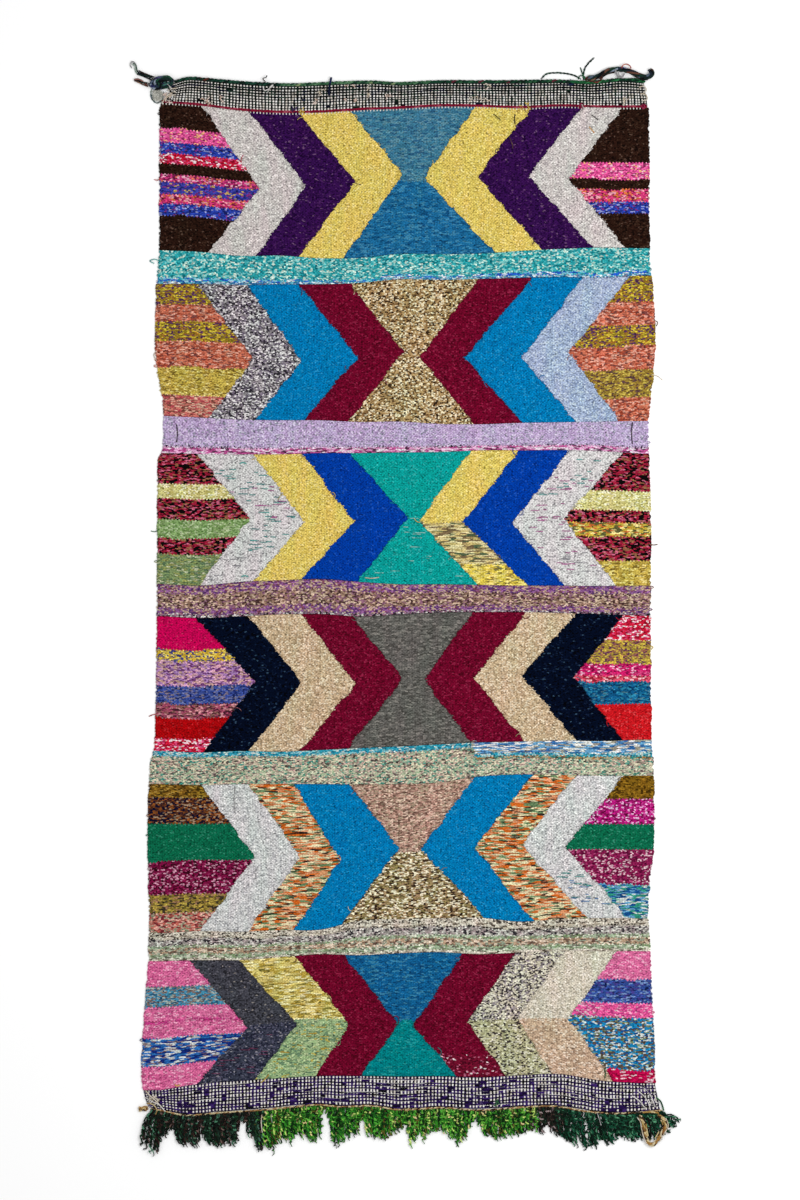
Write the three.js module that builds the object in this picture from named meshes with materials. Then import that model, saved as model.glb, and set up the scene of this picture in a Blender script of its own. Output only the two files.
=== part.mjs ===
// A flat-woven rag rug, lying face up on the floor.
// Millimetres, +Z up, +Y toward the head end. The origin is on the floor, at the middle of the
// box that the cloth, its bindings and its fringe fill. The corner ties may reach past that box.
import * as THREE from 'three';

// Thicknesses
const FIELD_THICKNESS = 5; // weft-faced weave, beaten tight
const CROSSBAND_THICKNESS = 5.6; // the five bands of heavier yarn between the panels
const END_THICKNESS = 3; // the open check at both ends, where the warps show
const FRINGE_THICKNESS = 8; // two layers of bulky yarn
const HEAD_BINDING_DIAMETER = 9;
const FOOT_BINDING_DIAMETER = 8;
const CLEARANCE = 0.3; // between two pieces that touch
const SEAT = 0.45; // clearance along a wavy end edge, measured along the rug

// Cloth mesh
const COLUMNS = 32;
const ROW_STEP = 90;
const SELVEDGE_ROUND = 1.2; // how far the top and bottom draw in from the selvedge's middle
const THICKNESS_STEP = 6; // length over which one thickness turns into the next
const WAVE_FADE = 420; // how far into the cloth the waviness of an end edge reaches

// Outer line of the head binding: y at places across the rug
const HEAD_EDGE = [
  { x: -705, y: 1609 },
  { x: -666, y: 1620 },
  { x: -627, y: 1619 },
  { x: -507, y: 1608 },
  { x: -357, y: 1601 },
  { x: -207, y: 1607 },
  { x: -117, y: 1609 },
  { x: -27, y: 1605 },
  { x: 93, y: 1610 },
  { x: 273, y: 1610 },
  { x: 453, y: 1612 },
  { x: 543, y: 1608 },
  { x: 633, y: 1616 },
  { x: 708, y: 1610 },
];

// Middle line of the foot binding: y at places across the rug
const FOOT_EDGE = [
  { x: -792, y: -1471 },
  { x: -747, y: -1479 },
  { x: -672, y: -1494 },
  { x: -567, y: -1487 },
  { x: -447, y: -1479 },
  { x: -327, y: -1467 },
  { x: -267, y: -1463 },
  { x: -207, y: -1469 },
  { x: -117, y: -1466 },
  { x: -27, y: -1478 },
  { x: 93, y: -1472 },
  { x: 213, y: -1479 },
  { x: 423, y: -1467 },
  { x: 543, y: -1484 },
  { x: 633, y: -1489 },
  { x: 760, y: -1480 },
];

// The two selvedges: x at places along the rug
const SIDES = [
  { y: -1480, left: -776, right: 755 },
  { y: -1443, left: -792, right: 748 },
  { y: -1389, left: -801, right: 738 },
  { y: -1269, left: -797, right: 735 },
  { y: -1149, left: -789, right: 729 },
  { y: -1029, left: -780, right: 724 },
  { y: -903, left: -777, right: 717 },
  { y: -789, left: -780, right: 721 },
  { y: -699, left: -782, right: 732 },
  { y: -549, left: -780, right: 732 },
  { y: -432, left: -774, right: 732 },
  { y: -384, left: -762, right: 727 },
  { y: -99, left: -756, right: 723 },
  { y: 171, left: -754, right: 724 },
  { y: 351, left: -753, right: 723 },
  { y: 471, left: -751, right: 719 },
  { y: 501, left: -738, right: 718 },
  { y: 591, left: -734, right: 718 },
  { y: 666, left: -740, right: 725 },
  { y: 771, left: -760, right: 734 },
  { y: 861, left: -759, right: 738 },
  { y: 1002, left: -756, right: 729 },
  { y: 1101, left: -748, right: 720 },
  { y: 1401, left: -747, right: 720 },
  { y: 1530, left: -743, right: 717 },
  { y: 1581, left: -716, right: 709 },
  { y: 1612, left: -701, right: 704 },
];

// Bands from the foot to the head, each with the y at which it starts
const BANDS = [
  { from: -1600, thickness: END_THICKNESS },
  { from: -1389, thickness: FIELD_THICKNESS },
  { from: -1014, thickness: CROSSBAND_THICKNESS },
  { from: -924, thickness: FIELD_THICKNESS },
  { from: -501, thickness: CROSSBAND_THICKNESS },
  { from: -393, thickness: FIELD_THICKNESS },
  { from: 6, thickness: CROSSBAND_THICKNESS },
  { from: 102, thickness: FIELD_THICKNESS },
  { from: 495, thickness: CROSSBAND_THICKNESS },
  { from: 588, thickness: FIELD_THICKNESS },
  { from: 1008, thickness: CROSSBAND_THICKNESS },
  { from: 1095, thickness: FIELD_THICKNESS },
  { from: 1524, thickness: END_THICKNESS },
];

// Tufts of the fringe: where each starts and ends at the foot, its left and right sides where it
// is widest, the x of its tip, its length, and how far down the gap to the next tuft starts
const TUFTS = [
  { from: -776, to: -712, left: -816, right: -724, tip: -768, length: 135, gap: 48 },
  { from: -706, to: -624, left: -699, right: -624, tip: -654, length: 93, gap: 62 },
  { from: -606, to: -519, left: -603, right: -510, tip: -558, length: 99, gap: 30 },
  { from: -486, to: -424, left: -480, right: -423, tip: -452, length: 114, gap: 84 },
  { from: -421, to: -348, left: -417, right: -348, tip: -405, length: 110, gap: 80 },
  { from: -345, to: -261, left: -339, right: -261, tip: -285, length: 108, gap: 14 },
  { from: -249, to: -153, left: -237, right: -153, tip: -222, length: 129, gap: 28 },
  { from: -144, to: -18, left: -123, right: -30, tip: -69, length: 108, gap: 38 },
  { from: -12, to: 93, left: -6, right: 84, tip: 20, length: 117, gap: 58 },
  { from: 96, to: 189, left: 120, right: 189, tip: 150, length: 117, gap: 33 },
  { from: 198, to: 360, left: 225, right: 357, tip: 270, length: 93, gap: 58 },
  { from: 366, to: 411, left: 390, right: 411, tip: 402, length: 99, gap: 58 },
  { from: 416, to: 560, left: 444, right: 558, tip: 548, length: 117, gap: 57 },
  { from: 566, to: 645, left: 576, right: 639, tip: 600, length: 105, gap: 63 },
  { from: 650, to: 736, left: 666, right: 765, tip: 714, length: 99, gap: 26 },
  { from: 739, to: 760, left: 771, right: 816, tip: 806, length: 56, gap: 20 },
];
const SPINE_DEPTH = 8; // the strip that joins the tufts under the foot binding
const TIP_SHARE = 0.45; // width of a tuft's tip as a share of its width at the foot
const TUFT_DROP = 0.58; // how far down a tuft its widest place is
const GAP_ROUND = 5; // a tuft is widest at least this far below the top of the gap beside it

// Corner ties: diameters of the yarns, and the height of a yarn that lies on the floor
const TAIL_DIAMETER = 6;
const LOOP_DIAMETER = 4;
const THIN_DIAMETER = 4.5;
const TAN_DIAMETER = 7;
const BUNDLE_DIAMETER = 14;
const ROPE_SIDES = 8;
const BUNDLE_SIDES = 10;
const KNOT = { x: -744.9, y: 1600, length: 72, width: 38, height: 15, turn: 0.12 };
const PAD = { x: -755.5, y: 1563, length: 30.6, width: 30.6, height: 5, turn: 0 };
const STUB = { x: -796.2, y: -1474, length: 34, width: 20, height: 9, turn: 0.12 };

// Yarn colours
const COLOURS = {
  cloth: 0x9c6a6f,
  headBinding: 0x24402f,
  footBinding: 0xb08a5c,
  fringe: 0x1f4a26,
  dark: 0x141c2c,
  grey: 0x8d938f,
  pale: 0xb9b8b0,
  green: 0x17392b,
  brown: 0x3a241c,
  tan: 0xa9793f,
};

// Value of the smooth line through a table's rows, where the key column has this value.
function valueAt(rows, key, place, column) {
  const last = rows.length - 1;
  const held = Math.min(Math.max(place, rows[0][key]), rows[last][key]);
  let i = 0;
  while (i < last - 1 && held > rows[i + 1][key]) {
    i += 1;
  }
  const slopeAt = (k) => {
    const before = rows[Math.max(k - 1, 0)];
    const after = rows[Math.min(k + 1, last)];
    return (after[column] - before[column]) / (after[key] - before[key]);
  };
  const span = rows[i + 1][key] - rows[i][key];
  const t = (held - rows[i][key]) / span;
  const start = rows[i][column];
  const rise = rows[i + 1][column] - start;
  const bend = (1 - t) * slopeAt(i) * span - t * slopeAt(i + 1) * span + (2 * t - 1) * rise;
  return start + t * rise + t * (1 - t) * bend;
}

function headY(x) {
  return valueAt(HEAD_EDGE, 'x', x, 'y') - HEAD_BINDING_DIAMETER - SEAT;
}

function footY(x) {
  return valueAt(FOOT_EDGE, 'x', x, 'y') + FOOT_BINDING_DIAMETER / 2 + SEAT;
}

// The places where the cloth's columns meet an end edge. The bindings and the fringe bend there
// too, so that they stay parallel to the cloth.
function columnPlaces(edgeY) {
  const left = valueAt(SIDES, 'y', edgeY, 'left');
  const right = valueAt(SIDES, 'y', edgeY, 'right');
  const places = [];
  for (let c = 0; c <= COLUMNS; c += 1) {
    places.push(left + ((right - left) * c) / COLUMNS);
  }
  return places;
}

function fade(distance) {
  const t = Math.min(Math.max(1 - distance / WAVE_FADE, 0), 1);
  return t * t * (3 - 2 * t);
}

function thicknessAt(y) {
  let thickness = BANDS[0].thickness;
  for (const band of BANDS.slice(1)) {
    const t = Math.min(Math.max((y - band.from) / THICKNESS_STEP + 0.5, 0), 1);
    thickness += (band.thickness - thickness) * t;
  }
  return thickness;
}

// Places of the cloth's rows, from the foot to the head: one on each side of every change of
// thickness, and enough between them.
function rowPlaces(foot, head) {
  const fixed = [foot, head];
  for (const band of BANDS.slice(1)) {
    fixed.push(band.from - THICKNESS_STEP / 2, band.from + THICKNESS_STEP / 2);
  }
  fixed.sort((a, b) => a - b);
  const places = [fixed[0]];
  for (let i = 1; i < fixed.length; i += 1) {
    const steps = Math.max(1, Math.round((fixed[i] - fixed[i - 1]) / ROW_STEP));
    for (let k = 1; k <= steps; k += 1) {
      places.push(fixed[i - 1] + ((fixed[i] - fixed[i - 1]) * k) / steps);
    }
  }
  return places;
}

// One closed sheet. Each row is a ring: the underside from left to right, the right selvedge,
// the face from right to left and the left selvedge.
function clothGeometry() {
  const meanHead = headY(0);
  const meanFoot = footY(0);
  const positions = [];
  const index = [];
  const places = rowPlaces(meanFoot, meanHead);
  for (const place of places) {
    const left = valueAt(SIDES, 'y', place, 'left');
    const right = valueAt(SIDES, 'y', place, 'right');
    const thickness = thicknessAt(place);
    const pointAt = (share, inset, z) => {
      const x = left + (right - left) * share + inset;
      const headShift = (headY(x) - meanHead) * fade(meanHead - place);
      const footShift = (footY(x) - meanFoot) * fade(place - meanFoot);
      positions.push(x, place + headShift + footShift, z);
    };
    const insetAt = (column) => {
      if (column === 0) {
        return SELVEDGE_ROUND;
      }
      return column === COLUMNS ? -SELVEDGE_ROUND : 0;
    };
    for (let c = 0; c <= COLUMNS; c += 1) {
      pointAt(c / COLUMNS, insetAt(c), 0);
    }
    pointAt(1, 0, thickness / 2);
    for (let c = COLUMNS; c >= 0; c -= 1) {
      pointAt(c / COLUMNS, insetAt(c), thickness);
    }
    pointAt(0, 0, thickness / 2);
  }
  const ring = 2 * (COLUMNS + 1) + 2;
  for (let r = 0; r < places.length - 1; r += 1) {
    for (let k = 0; k < ring; k += 1) {
      const a = r * ring + k;
      const b = r * ring + ((k + 1) % ring);
      index.push(a, b + ring, b, a, a + ring, b + ring);
    }
  }
  const faceAt = (row, c) => row * ring + ring - 2 - c;
  const endRow = places.length - 1;
  for (let c = 0; c < COLUMNS; c += 1) {
    const foot = [c, c + 1, faceAt(0, c + 1), faceAt(0, c)];
    const head = [endRow * ring + c, endRow * ring + c + 1, faceAt(endRow, c + 1), faceAt(endRow, c)];
    index.push(foot[0], foot[1], foot[2], foot[0], foot[2], foot[3]);
    index.push(head[0], head[2], head[1], head[0], head[3], head[2]);
  }
  for (const row of [0, endRow]) {
    const base = row * ring;
    const right = [base + COLUMNS, base + COLUMNS + 1, faceAt(row, COLUMNS)];
    const left = [base, faceAt(row, 0), base + ring - 1];
    for (const corner of [right, left]) {
      index.push(...(row === 0 ? corner : [corner[0], corner[2], corner[1]]));
    }
  }
  const geometry = new THREE.BufferGeometry();
  geometry.setAttribute('position', new THREE.Float32BufferAttribute(positions, 3));
  geometry.setIndex(index);
  geometry.computeVertexNormals();
  return geometry;
}

// A line through points that keeps every one of them as a corner.
class CornerCurve extends THREE.Curve {
  constructor(points) {
    super();
    this.points = points;
  }

  getPoint(t, target = new THREE.Vector3()) {
    const place = t * (this.points.length - 1);
    const i = Math.min(Math.floor(place), this.points.length - 2);
    return target.lerpVectors(this.points[i], this.points[i + 1], place - i);
  }

  getUtoTmapping(u) {
    return u;
  }
}

// The section of a yarn, with a flat toward the floor and the sides as far apart as it is wide.
function ropeSection(diameter, sides) {
  const half = Math.PI / sides;
  const radius = diameter / 2 / Math.cos(half);
  const corners = [];
  for (let k = 0; k < sides; k += 1) {
    const angle = (2 * k + 1) * half;
    corners.push(new THREE.Vector2(Math.cos(angle) * radius, Math.sin(angle) * radius));
  }
  return new THREE.Shape(corners);
}

// A round yarn or cord along a smooth curve.
function cordGeometry(points, diameter, sides, steps) {
  const route = points.map(([x, y, z]) => new THREE.Vector3(x, y, z));
  const extrudePath = new THREE.CatmullRomCurve3(route, false, 'centripetal');
  const section = ropeSection(diameter, sides);
  return new THREE.ExtrudeGeometry(section, { steps, extrudePath, curveSegments: 1 });
}

// A twined cord that lies on the floor along an end edge of the cloth.
function bindingGeometry(table, edgeY, shift, diameter) {
  const route = columnPlaces(edgeY).map((x) => {
    return new THREE.Vector3(x, valueAt(table, 'x', x, 'y') + shift, diameter / 2);
  });
  const section = ropeSection(diameter, ROPE_SIDES);
  const extrudePath = new CornerCurve(route);
  return new THREE.ExtrudeGeometry(section, { steps: COLUMNS, extrudePath, curveSegments: 1 });
}

// The whole fringe is one comb: a narrow spine with a tapered tooth for each tuft.
function fringeGeometry() {
  const rootY = (x) => valueAt(FOOT_EDGE, 'x', x, 'y') - FOOT_BINDING_DIAMETER / 2 - SEAT;
  const shape = new THREE.Shape();
  const first = TUFTS[0];
  const last = TUFTS[TUFTS.length - 1];
  shape.moveTo(first.from, rootY(first.from));
  let gapBefore = SPINE_DEPTH;
  for (const tuft of TUFTS) {
    const tipHalf = ((tuft.to - tuft.from) * TIP_SHARE) / 2;
    const foot = rootY((tuft.from + tuft.to) / 2);
    const widest = tuft.length * TUFT_DROP;
    shape.lineTo(tuft.from, foot - gapBefore);
    shape.lineTo(tuft.left, foot - Math.max(widest, gapBefore + GAP_ROUND));
    shape.lineTo(tuft.tip - tipHalf, foot - tuft.length);
    shape.lineTo(tuft.tip + tipHalf, foot - tuft.length);
    shape.lineTo(tuft.right, foot - Math.max(widest, tuft.gap + GAP_ROUND));
    shape.lineTo(tuft.to, foot - tuft.gap);
    gapBefore = tuft.gap;
  }
  shape.lineTo(last.to, rootY(last.to));
  const between = columnPlaces(footY(0)).filter((x) => x > first.from && x < last.to);
  for (const x of between.reverse()) {
    shape.lineTo(x, rootY(x));
  }
  return new THREE.ExtrudeGeometry(shape, { depth: FRINGE_THICKNESS, bevelEnabled: false });
}

// A flattened lump of yarn that lies on the floor.
function lumpGeometry({ x, y, length, width, height, turn }) {
  const geometry = new THREE.SphereGeometry(0.5, 16, 10);
  geometry.rotateX(Math.PI / 2);
  geometry.scale(length, width, height);
  geometry.rotateZ(turn);
  geometry.translate(x, y, height / 2);
  return geometry;
}

function piece(name, colour, geometry) {
  const material = new THREE.MeshStandardMaterial({ color: colour, roughness: 0.95, metalness: 0 });
  const mesh = new THREE.Mesh(geometry, material);
  mesh.name = name;
  return mesh;
}

function headBinding() {
  return bindingGeometry(HEAD_EDGE, headY(0), -HEAD_BINDING_DIAMETER / 2, HEAD_BINDING_DIAMETER);
}

function footBinding() {
  return bindingGeometry(FOOT_EDGE, footY(0), 0, FOOT_BINDING_DIAMETER);
}

// The routes of the free yarn ends. Each lies on the floor, or on the fringe.
const ON_FRINGE = FRINGE_THICKNESS + CLEARANCE;
const ROUTES = {
  tailLong: [
    [-769, 1613, 4],
    [-783, 1619, 3.2],
    [-800, 1626, 3.2],
    [-816, 1633, 3.2],
    [-820, 1645, 3.2],
    [-822, 1655, 3.2],
    [-832, 1661, 3.2],
  ],
  tailShort: [
    [-780.6, 1596.6, 3.4],
    [-796, 1603, 3.2],
    [-810, 1610, 3.2],
    [-825, 1614, 3.2],
  ],
  loop: [
    [-770, 1586, 2.1],
    [-774, 1572, 2.1],
    [-772, 1556, 2.1],
    [-763, 1545, 2.1],
    [-753, 1542, 2.1],
    [-743, 1548, 2.1],
    [-738, 1560, 2.1],
    [-736, 1576, 2.1],
  ],
  arc: [
    [396, 1613.9, 2.3],
    [411, 1628, 2.3],
    [438, 1632, 2.3],
    [471, 1630, 2.3],
    [501, 1622, 2.3],
    [516, 1612.4, 2.3],
  ],
  upright: [
    [523, 1609.2, 2.3],
    [524, 1632, 2.3],
    [530, 1650, 2.3],
    [541, 1664, 2.3],
    [556, 1678, 2.3],
  ],
  bundle: [
    [536, 1616, 7.1],
    [556, 1618, 7.1],
    [576, 1627, 7.1],
    [594, 1636, 7.1],
    [615, 1642, 7.1],
    [645, 1641, 7.1],
    [673, 1631, 7.1],
    [695, 1622, 7.1],
    [716, 1620, 7.1],
    [728, 1629, 7.1],
    [721, 1643, 7.1],
  ],
  tanLoop: [
    [690, -1493, 3.6],
    [700, -1508, 3.6],
    [704, -1530, 3.6],
    [709, -1552, 3.6],
    [718, -1575, 3.6],
    [730, -1580, 3.6],
    [744, -1568, 3.6],
    [758, -1545, 3.6],
    [770, -1522, 3.6],
    [762, -1504, 3.6],
    [745, -1492, 3.6],
  ].map(([x, y, z]) => [x, y, z + ON_FRINGE]),
};

const rug = new THREE.Group();
rug.name = 'flat_woven_rug';
rug.add(
  piece('rug_cloth', COLOURS.cloth, clothGeometry()),
  piece('head_binding', COLOURS.headBinding, headBinding()),
  piece('foot_binding', COLOURS.footBinding, footBinding()),
  piece('foot_fringe', COLOURS.fringe, fringeGeometry()),
  piece('head_left_knot', COLOURS.dark, lumpGeometry(KNOT)),
  piece('head_left_pad', COLOURS.pale, lumpGeometry(PAD)),
  piece('foot_left_stub', COLOURS.tan, lumpGeometry(STUB)),
  piece('head_left_tail_long', COLOURS.dark, cordGeometry(ROUTES.tailLong, TAIL_DIAMETER, ROPE_SIDES, 12)),
  piece('head_left_tail_short', COLOURS.dark, cordGeometry(ROUTES.tailShort, TAIL_DIAMETER, ROPE_SIDES, 8)),
  piece('head_left_loop', COLOURS.grey, cordGeometry(ROUTES.loop, LOOP_DIAMETER, ROPE_SIDES, 16)),
  piece('head_right_arc', COLOURS.green, cordGeometry(ROUTES.arc, THIN_DIAMETER, ROPE_SIDES, 16)),
  piece('head_right_end', COLOURS.green, cordGeometry(ROUTES.upright, THIN_DIAMETER, ROPE_SIDES, 10)),
  piece('head_right_bundle', COLOURS.brown, cordGeometry(ROUTES.bundle, BUNDLE_DIAMETER, BUNDLE_SIDES, 24)),
  piece('foot_right_loop', COLOURS.tan, cordGeometry(ROUTES.tanLoop, TAN_DIAMETER, ROPE_SIDES, 28)),
);

export default rug;
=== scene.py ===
"""A flat-woven rag rug, lying face up on a pale floor and seen from straight above.

Everything is in metres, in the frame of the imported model: +Y toward the head end, +Z up. Tables
are in millimetres and are turned into metres where a mesh is made.
"""

import math

import bpy
import numpy as np
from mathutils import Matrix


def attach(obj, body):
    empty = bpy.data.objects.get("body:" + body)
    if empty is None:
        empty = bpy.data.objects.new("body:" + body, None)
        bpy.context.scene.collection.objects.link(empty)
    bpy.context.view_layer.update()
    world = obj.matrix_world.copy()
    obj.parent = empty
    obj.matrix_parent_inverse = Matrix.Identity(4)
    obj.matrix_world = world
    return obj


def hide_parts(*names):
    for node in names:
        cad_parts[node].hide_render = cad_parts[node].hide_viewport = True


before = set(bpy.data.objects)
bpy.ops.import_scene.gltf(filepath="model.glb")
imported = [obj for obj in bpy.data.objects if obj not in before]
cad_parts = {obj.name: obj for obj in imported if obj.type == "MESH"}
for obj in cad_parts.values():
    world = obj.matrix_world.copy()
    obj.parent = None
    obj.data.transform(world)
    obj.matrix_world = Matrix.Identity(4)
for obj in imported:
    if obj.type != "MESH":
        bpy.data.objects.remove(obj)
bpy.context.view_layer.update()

MM = 0.001


# Camera: straight above, with the picture's 3 mm a pixel

CAMERA_PLACE = (-0.027, 0.051, 12.0)


def make_camera():
    data = bpy.data.cameras.new("camera")
    data.type = "PERSP"
    data.sensor_width = 36
    data.sensor_fit = "AUTO"
    data.lens = 120
    data.clip_end = 50
    camera = add_object("camera", data)
    camera.location = CAMERA_PLACE
    bpy.context.scene.camera = camera


# Smooth lines and seeded noise

def smooth_line(places, values, at):
    """Value of the smooth line through points, held level past both ends."""
    xs = np.asarray(places, float)
    ys = np.asarray(values, float)
    held = np.clip(at, xs[0], xs[-1])
    i = np.clip(np.searchsorted(xs, held, side="left") - 1, 0, len(xs) - 2)
    slopes = np.empty(len(xs))
    slopes[1:-1] = (ys[2:] - ys[:-2]) / (xs[2:] - xs[:-2])
    slopes[0] = (ys[1] - ys[0]) / (xs[1] - xs[0])
    slopes[-1] = (ys[-1] - ys[-2]) / (xs[-1] - xs[-2])
    span = xs[i + 1] - xs[i]
    t = (held - xs[i]) / span
    rise = ys[i + 1] - ys[i]
    bend = (1 - t) * slopes[i] * span - t * slopes[i + 1] * span + (2 * t - 1) * rise
    return ys[i] + t * rise + t * (1 - t) * bend


def wander(seed, at, step):
    """Smooth random line between -1 and 1 that turns about every step."""
    values = np.random.default_rng(seed).uniform(-1, 1, 2048)
    place = np.asarray(at, float) / step + 500
    cell = np.floor(place).astype(int)
    t = place - cell
    t = t * t * (3 - 2 * t)
    return values[cell % 2048] * (1 - t) + values[(cell + 1) % 2048] * t


def unevenness(seed, x, y, step):
    """Smooth random surface between -1 and 1 with bumps about a step wide."""
    grid = np.random.default_rng(seed).uniform(-1, 1, (256, 256))
    px = np.asarray(x, float) / step + 100
    py = np.asarray(y, float) / step + 100
    ix = np.floor(px).astype(int)
    iy = np.floor(py).astype(int)
    tx = px - ix
    ty = py - iy
    tx = tx * tx * (3 - 2 * tx)
    ty = ty * ty * (3 - 2 * ty)
    low = grid[iy % 256, ix % 256] * (1 - tx) + grid[iy % 256, (ix + 1) % 256] * tx
    high = grid[(iy + 1) % 256, ix % 256] * (1 - tx) + grid[(iy + 1) % 256, (ix + 1) % 256] * tx
    return low * (1 - ty) + high * ty


# Outline of the rug, as in the CAD model

SIDES = (
    # y, left x, right x
    (-1480, -776, 755), (-1443, -792, 748), (-1389, -801, 738), (-1269, -797, 735),
    (-1149, -789, 729), (-1029, -780, 724), (-903, -777, 717), (-789, -780, 721),
    (-699, -782, 732), (-549, -780, 732), (-432, -774, 732), (-384, -762, 727),
    (-99, -756, 723), (171, -754, 724), (351, -753, 723), (471, -751, 719),
    (501, -738, 718), (591, -734, 718), (666, -740, 725), (771, -760, 734),
    (861, -759, 738), (1002, -756, 729), (1101, -748, 720), (1401, -747, 720),
    (1530, -743, 717), (1581, -716, 709), (1612, -701, 704),
)
HEAD_EDGE = (
    # x, y of the outer line of the head binding
    (-705, 1609), (-666, 1620), (-627, 1619), (-507, 1608), (-357, 1601), (-207, 1607),
    (-117, 1609), (-27, 1605), (93, 1610), (273, 1610), (453, 1612), (543, 1608),
    (633, 1616), (708, 1610),
)
FOOT_EDGE = (
    # x, y of the middle line of the foot binding
    (-792, -1471), (-747, -1479), (-672, -1494), (-567, -1487), (-447, -1479),
    (-327, -1467), (-267, -1463), (-207, -1469), (-117, -1466), (-27, -1478),
    (93, -1472), (213, -1479), (423, -1467), (543, -1484), (633, -1489), (760, -1480),
)
HEAD_BINDING = 9.0
FOOT_BINDING = 8.0
SEAT = 0.45


def line_through(table, at, column=1):
    """Smooth line through a column of a table whose first column is the place."""
    rows = np.array(table, float)
    return smooth_line(rows[:, 0], rows[:, column], at)


def side_x(y, column):
    return line_through(SIDES, y, column)


def head_line(x):
    return line_through(HEAD_EDGE, x)


def foot_line(x):
    return line_through(FOOT_EDGE, x)


# Borders between the woven bands: y at thirteen places across the rug

BORDER_PLACES = (-747, -627, -507, -387, -267, -147, -27, 93, 213, 333, 453, 573, 693)
BORDERS = {
    "burgundy_line": (1545, 1536, 1521, 1514, 1515, 1522, 1527, 1533, 1532, 1528, 1533, 1530, 1530),
    "crossband_1_top": (1100, 1095, 1083, 1084, 1076, 1077, 1089, 1088, 1090, 1098, 1104, 1108, 1106),
    "crossband_1_foot": (999, 999, 996, 998, 998, 1002, 1013, 1011, 1014, 1017, 1020, 1018, 1024),
    "crossband_2_top": (604, 598, 592, 590, 590, 585, 586, 579, 578, 582, 584, 586, 588),
    "crossband_2_foot": (492, 489, 488, 488, 492, 492, 494, 495, 500, 500, 501, 498, 490),
    "crossband_3_top": (99, 94, 105, 110, 114, 105, 98, 98, 96, 94, 94, 93, 94),
    "crossband_3_foot": (3, -3, 2, 8, 9, 2, 8, 14, 15, 15, 12, 9, 4),
    "crossband_4_top": (-402, -406, -402, -404, -399, -393, -388, -382, -376, -374, -370, -372, -368),
    "crossband_4_foot": (-501, -504, -501, -501, -501, -502, -501, -495, -478, -472, -474, -476, -476),
    "crossband_5_top": (-948, -942, -944, -939, -938, -910, -906, -903, -902, -914, -906, -903, -904),
    "crossband_5_foot": (
        -1032, -1029, -1029, -1020, -1011, -1014, -1008, -1005, -1011, -1006, -1002, -1002, -1002,
    ),
    "foot_band_top": (
        -1419, -1400, -1390, -1383, -1376, -1376, -1378, -1377, -1380, -1374, -1371, -1390, -1398,
    ),
}
BURGUNDY_WIDTH = 5.0


def border_y(name, x):
    if name == "head_edge":
        return head_line(x) - HEAD_BINDING - SEAT
    if name == "foot_edge":
        return foot_line(x) + FOOT_BINDING / 2 + SEAT
    if name == "burgundy_top":
        return border_y("burgundy_line", x) + BURGUNDY_WIDTH / 2
    if name == "burgundy_foot":
        return border_y("burgundy_line", x) - BURGUNDY_WIDTH / 2
    return smooth_line(BORDER_PLACES, BORDERS[name], x)


# Yarns: colours with their shares, how long a fleck runs along the weft in warps, and how far
# the shade strays from bead to bead

def mix(text):
    """Names with their shares, from text such as "#2a160f 64 #160a07 20"."""
    parts = text.split()
    return tuple((name, int(share)) for name, share in zip(parts[::2], parts[1::2]))


def dyed(colours, run=1.0, stray=0.26):
    return {"colours": mix(colours), "run": run, "stray": stray}


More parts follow.
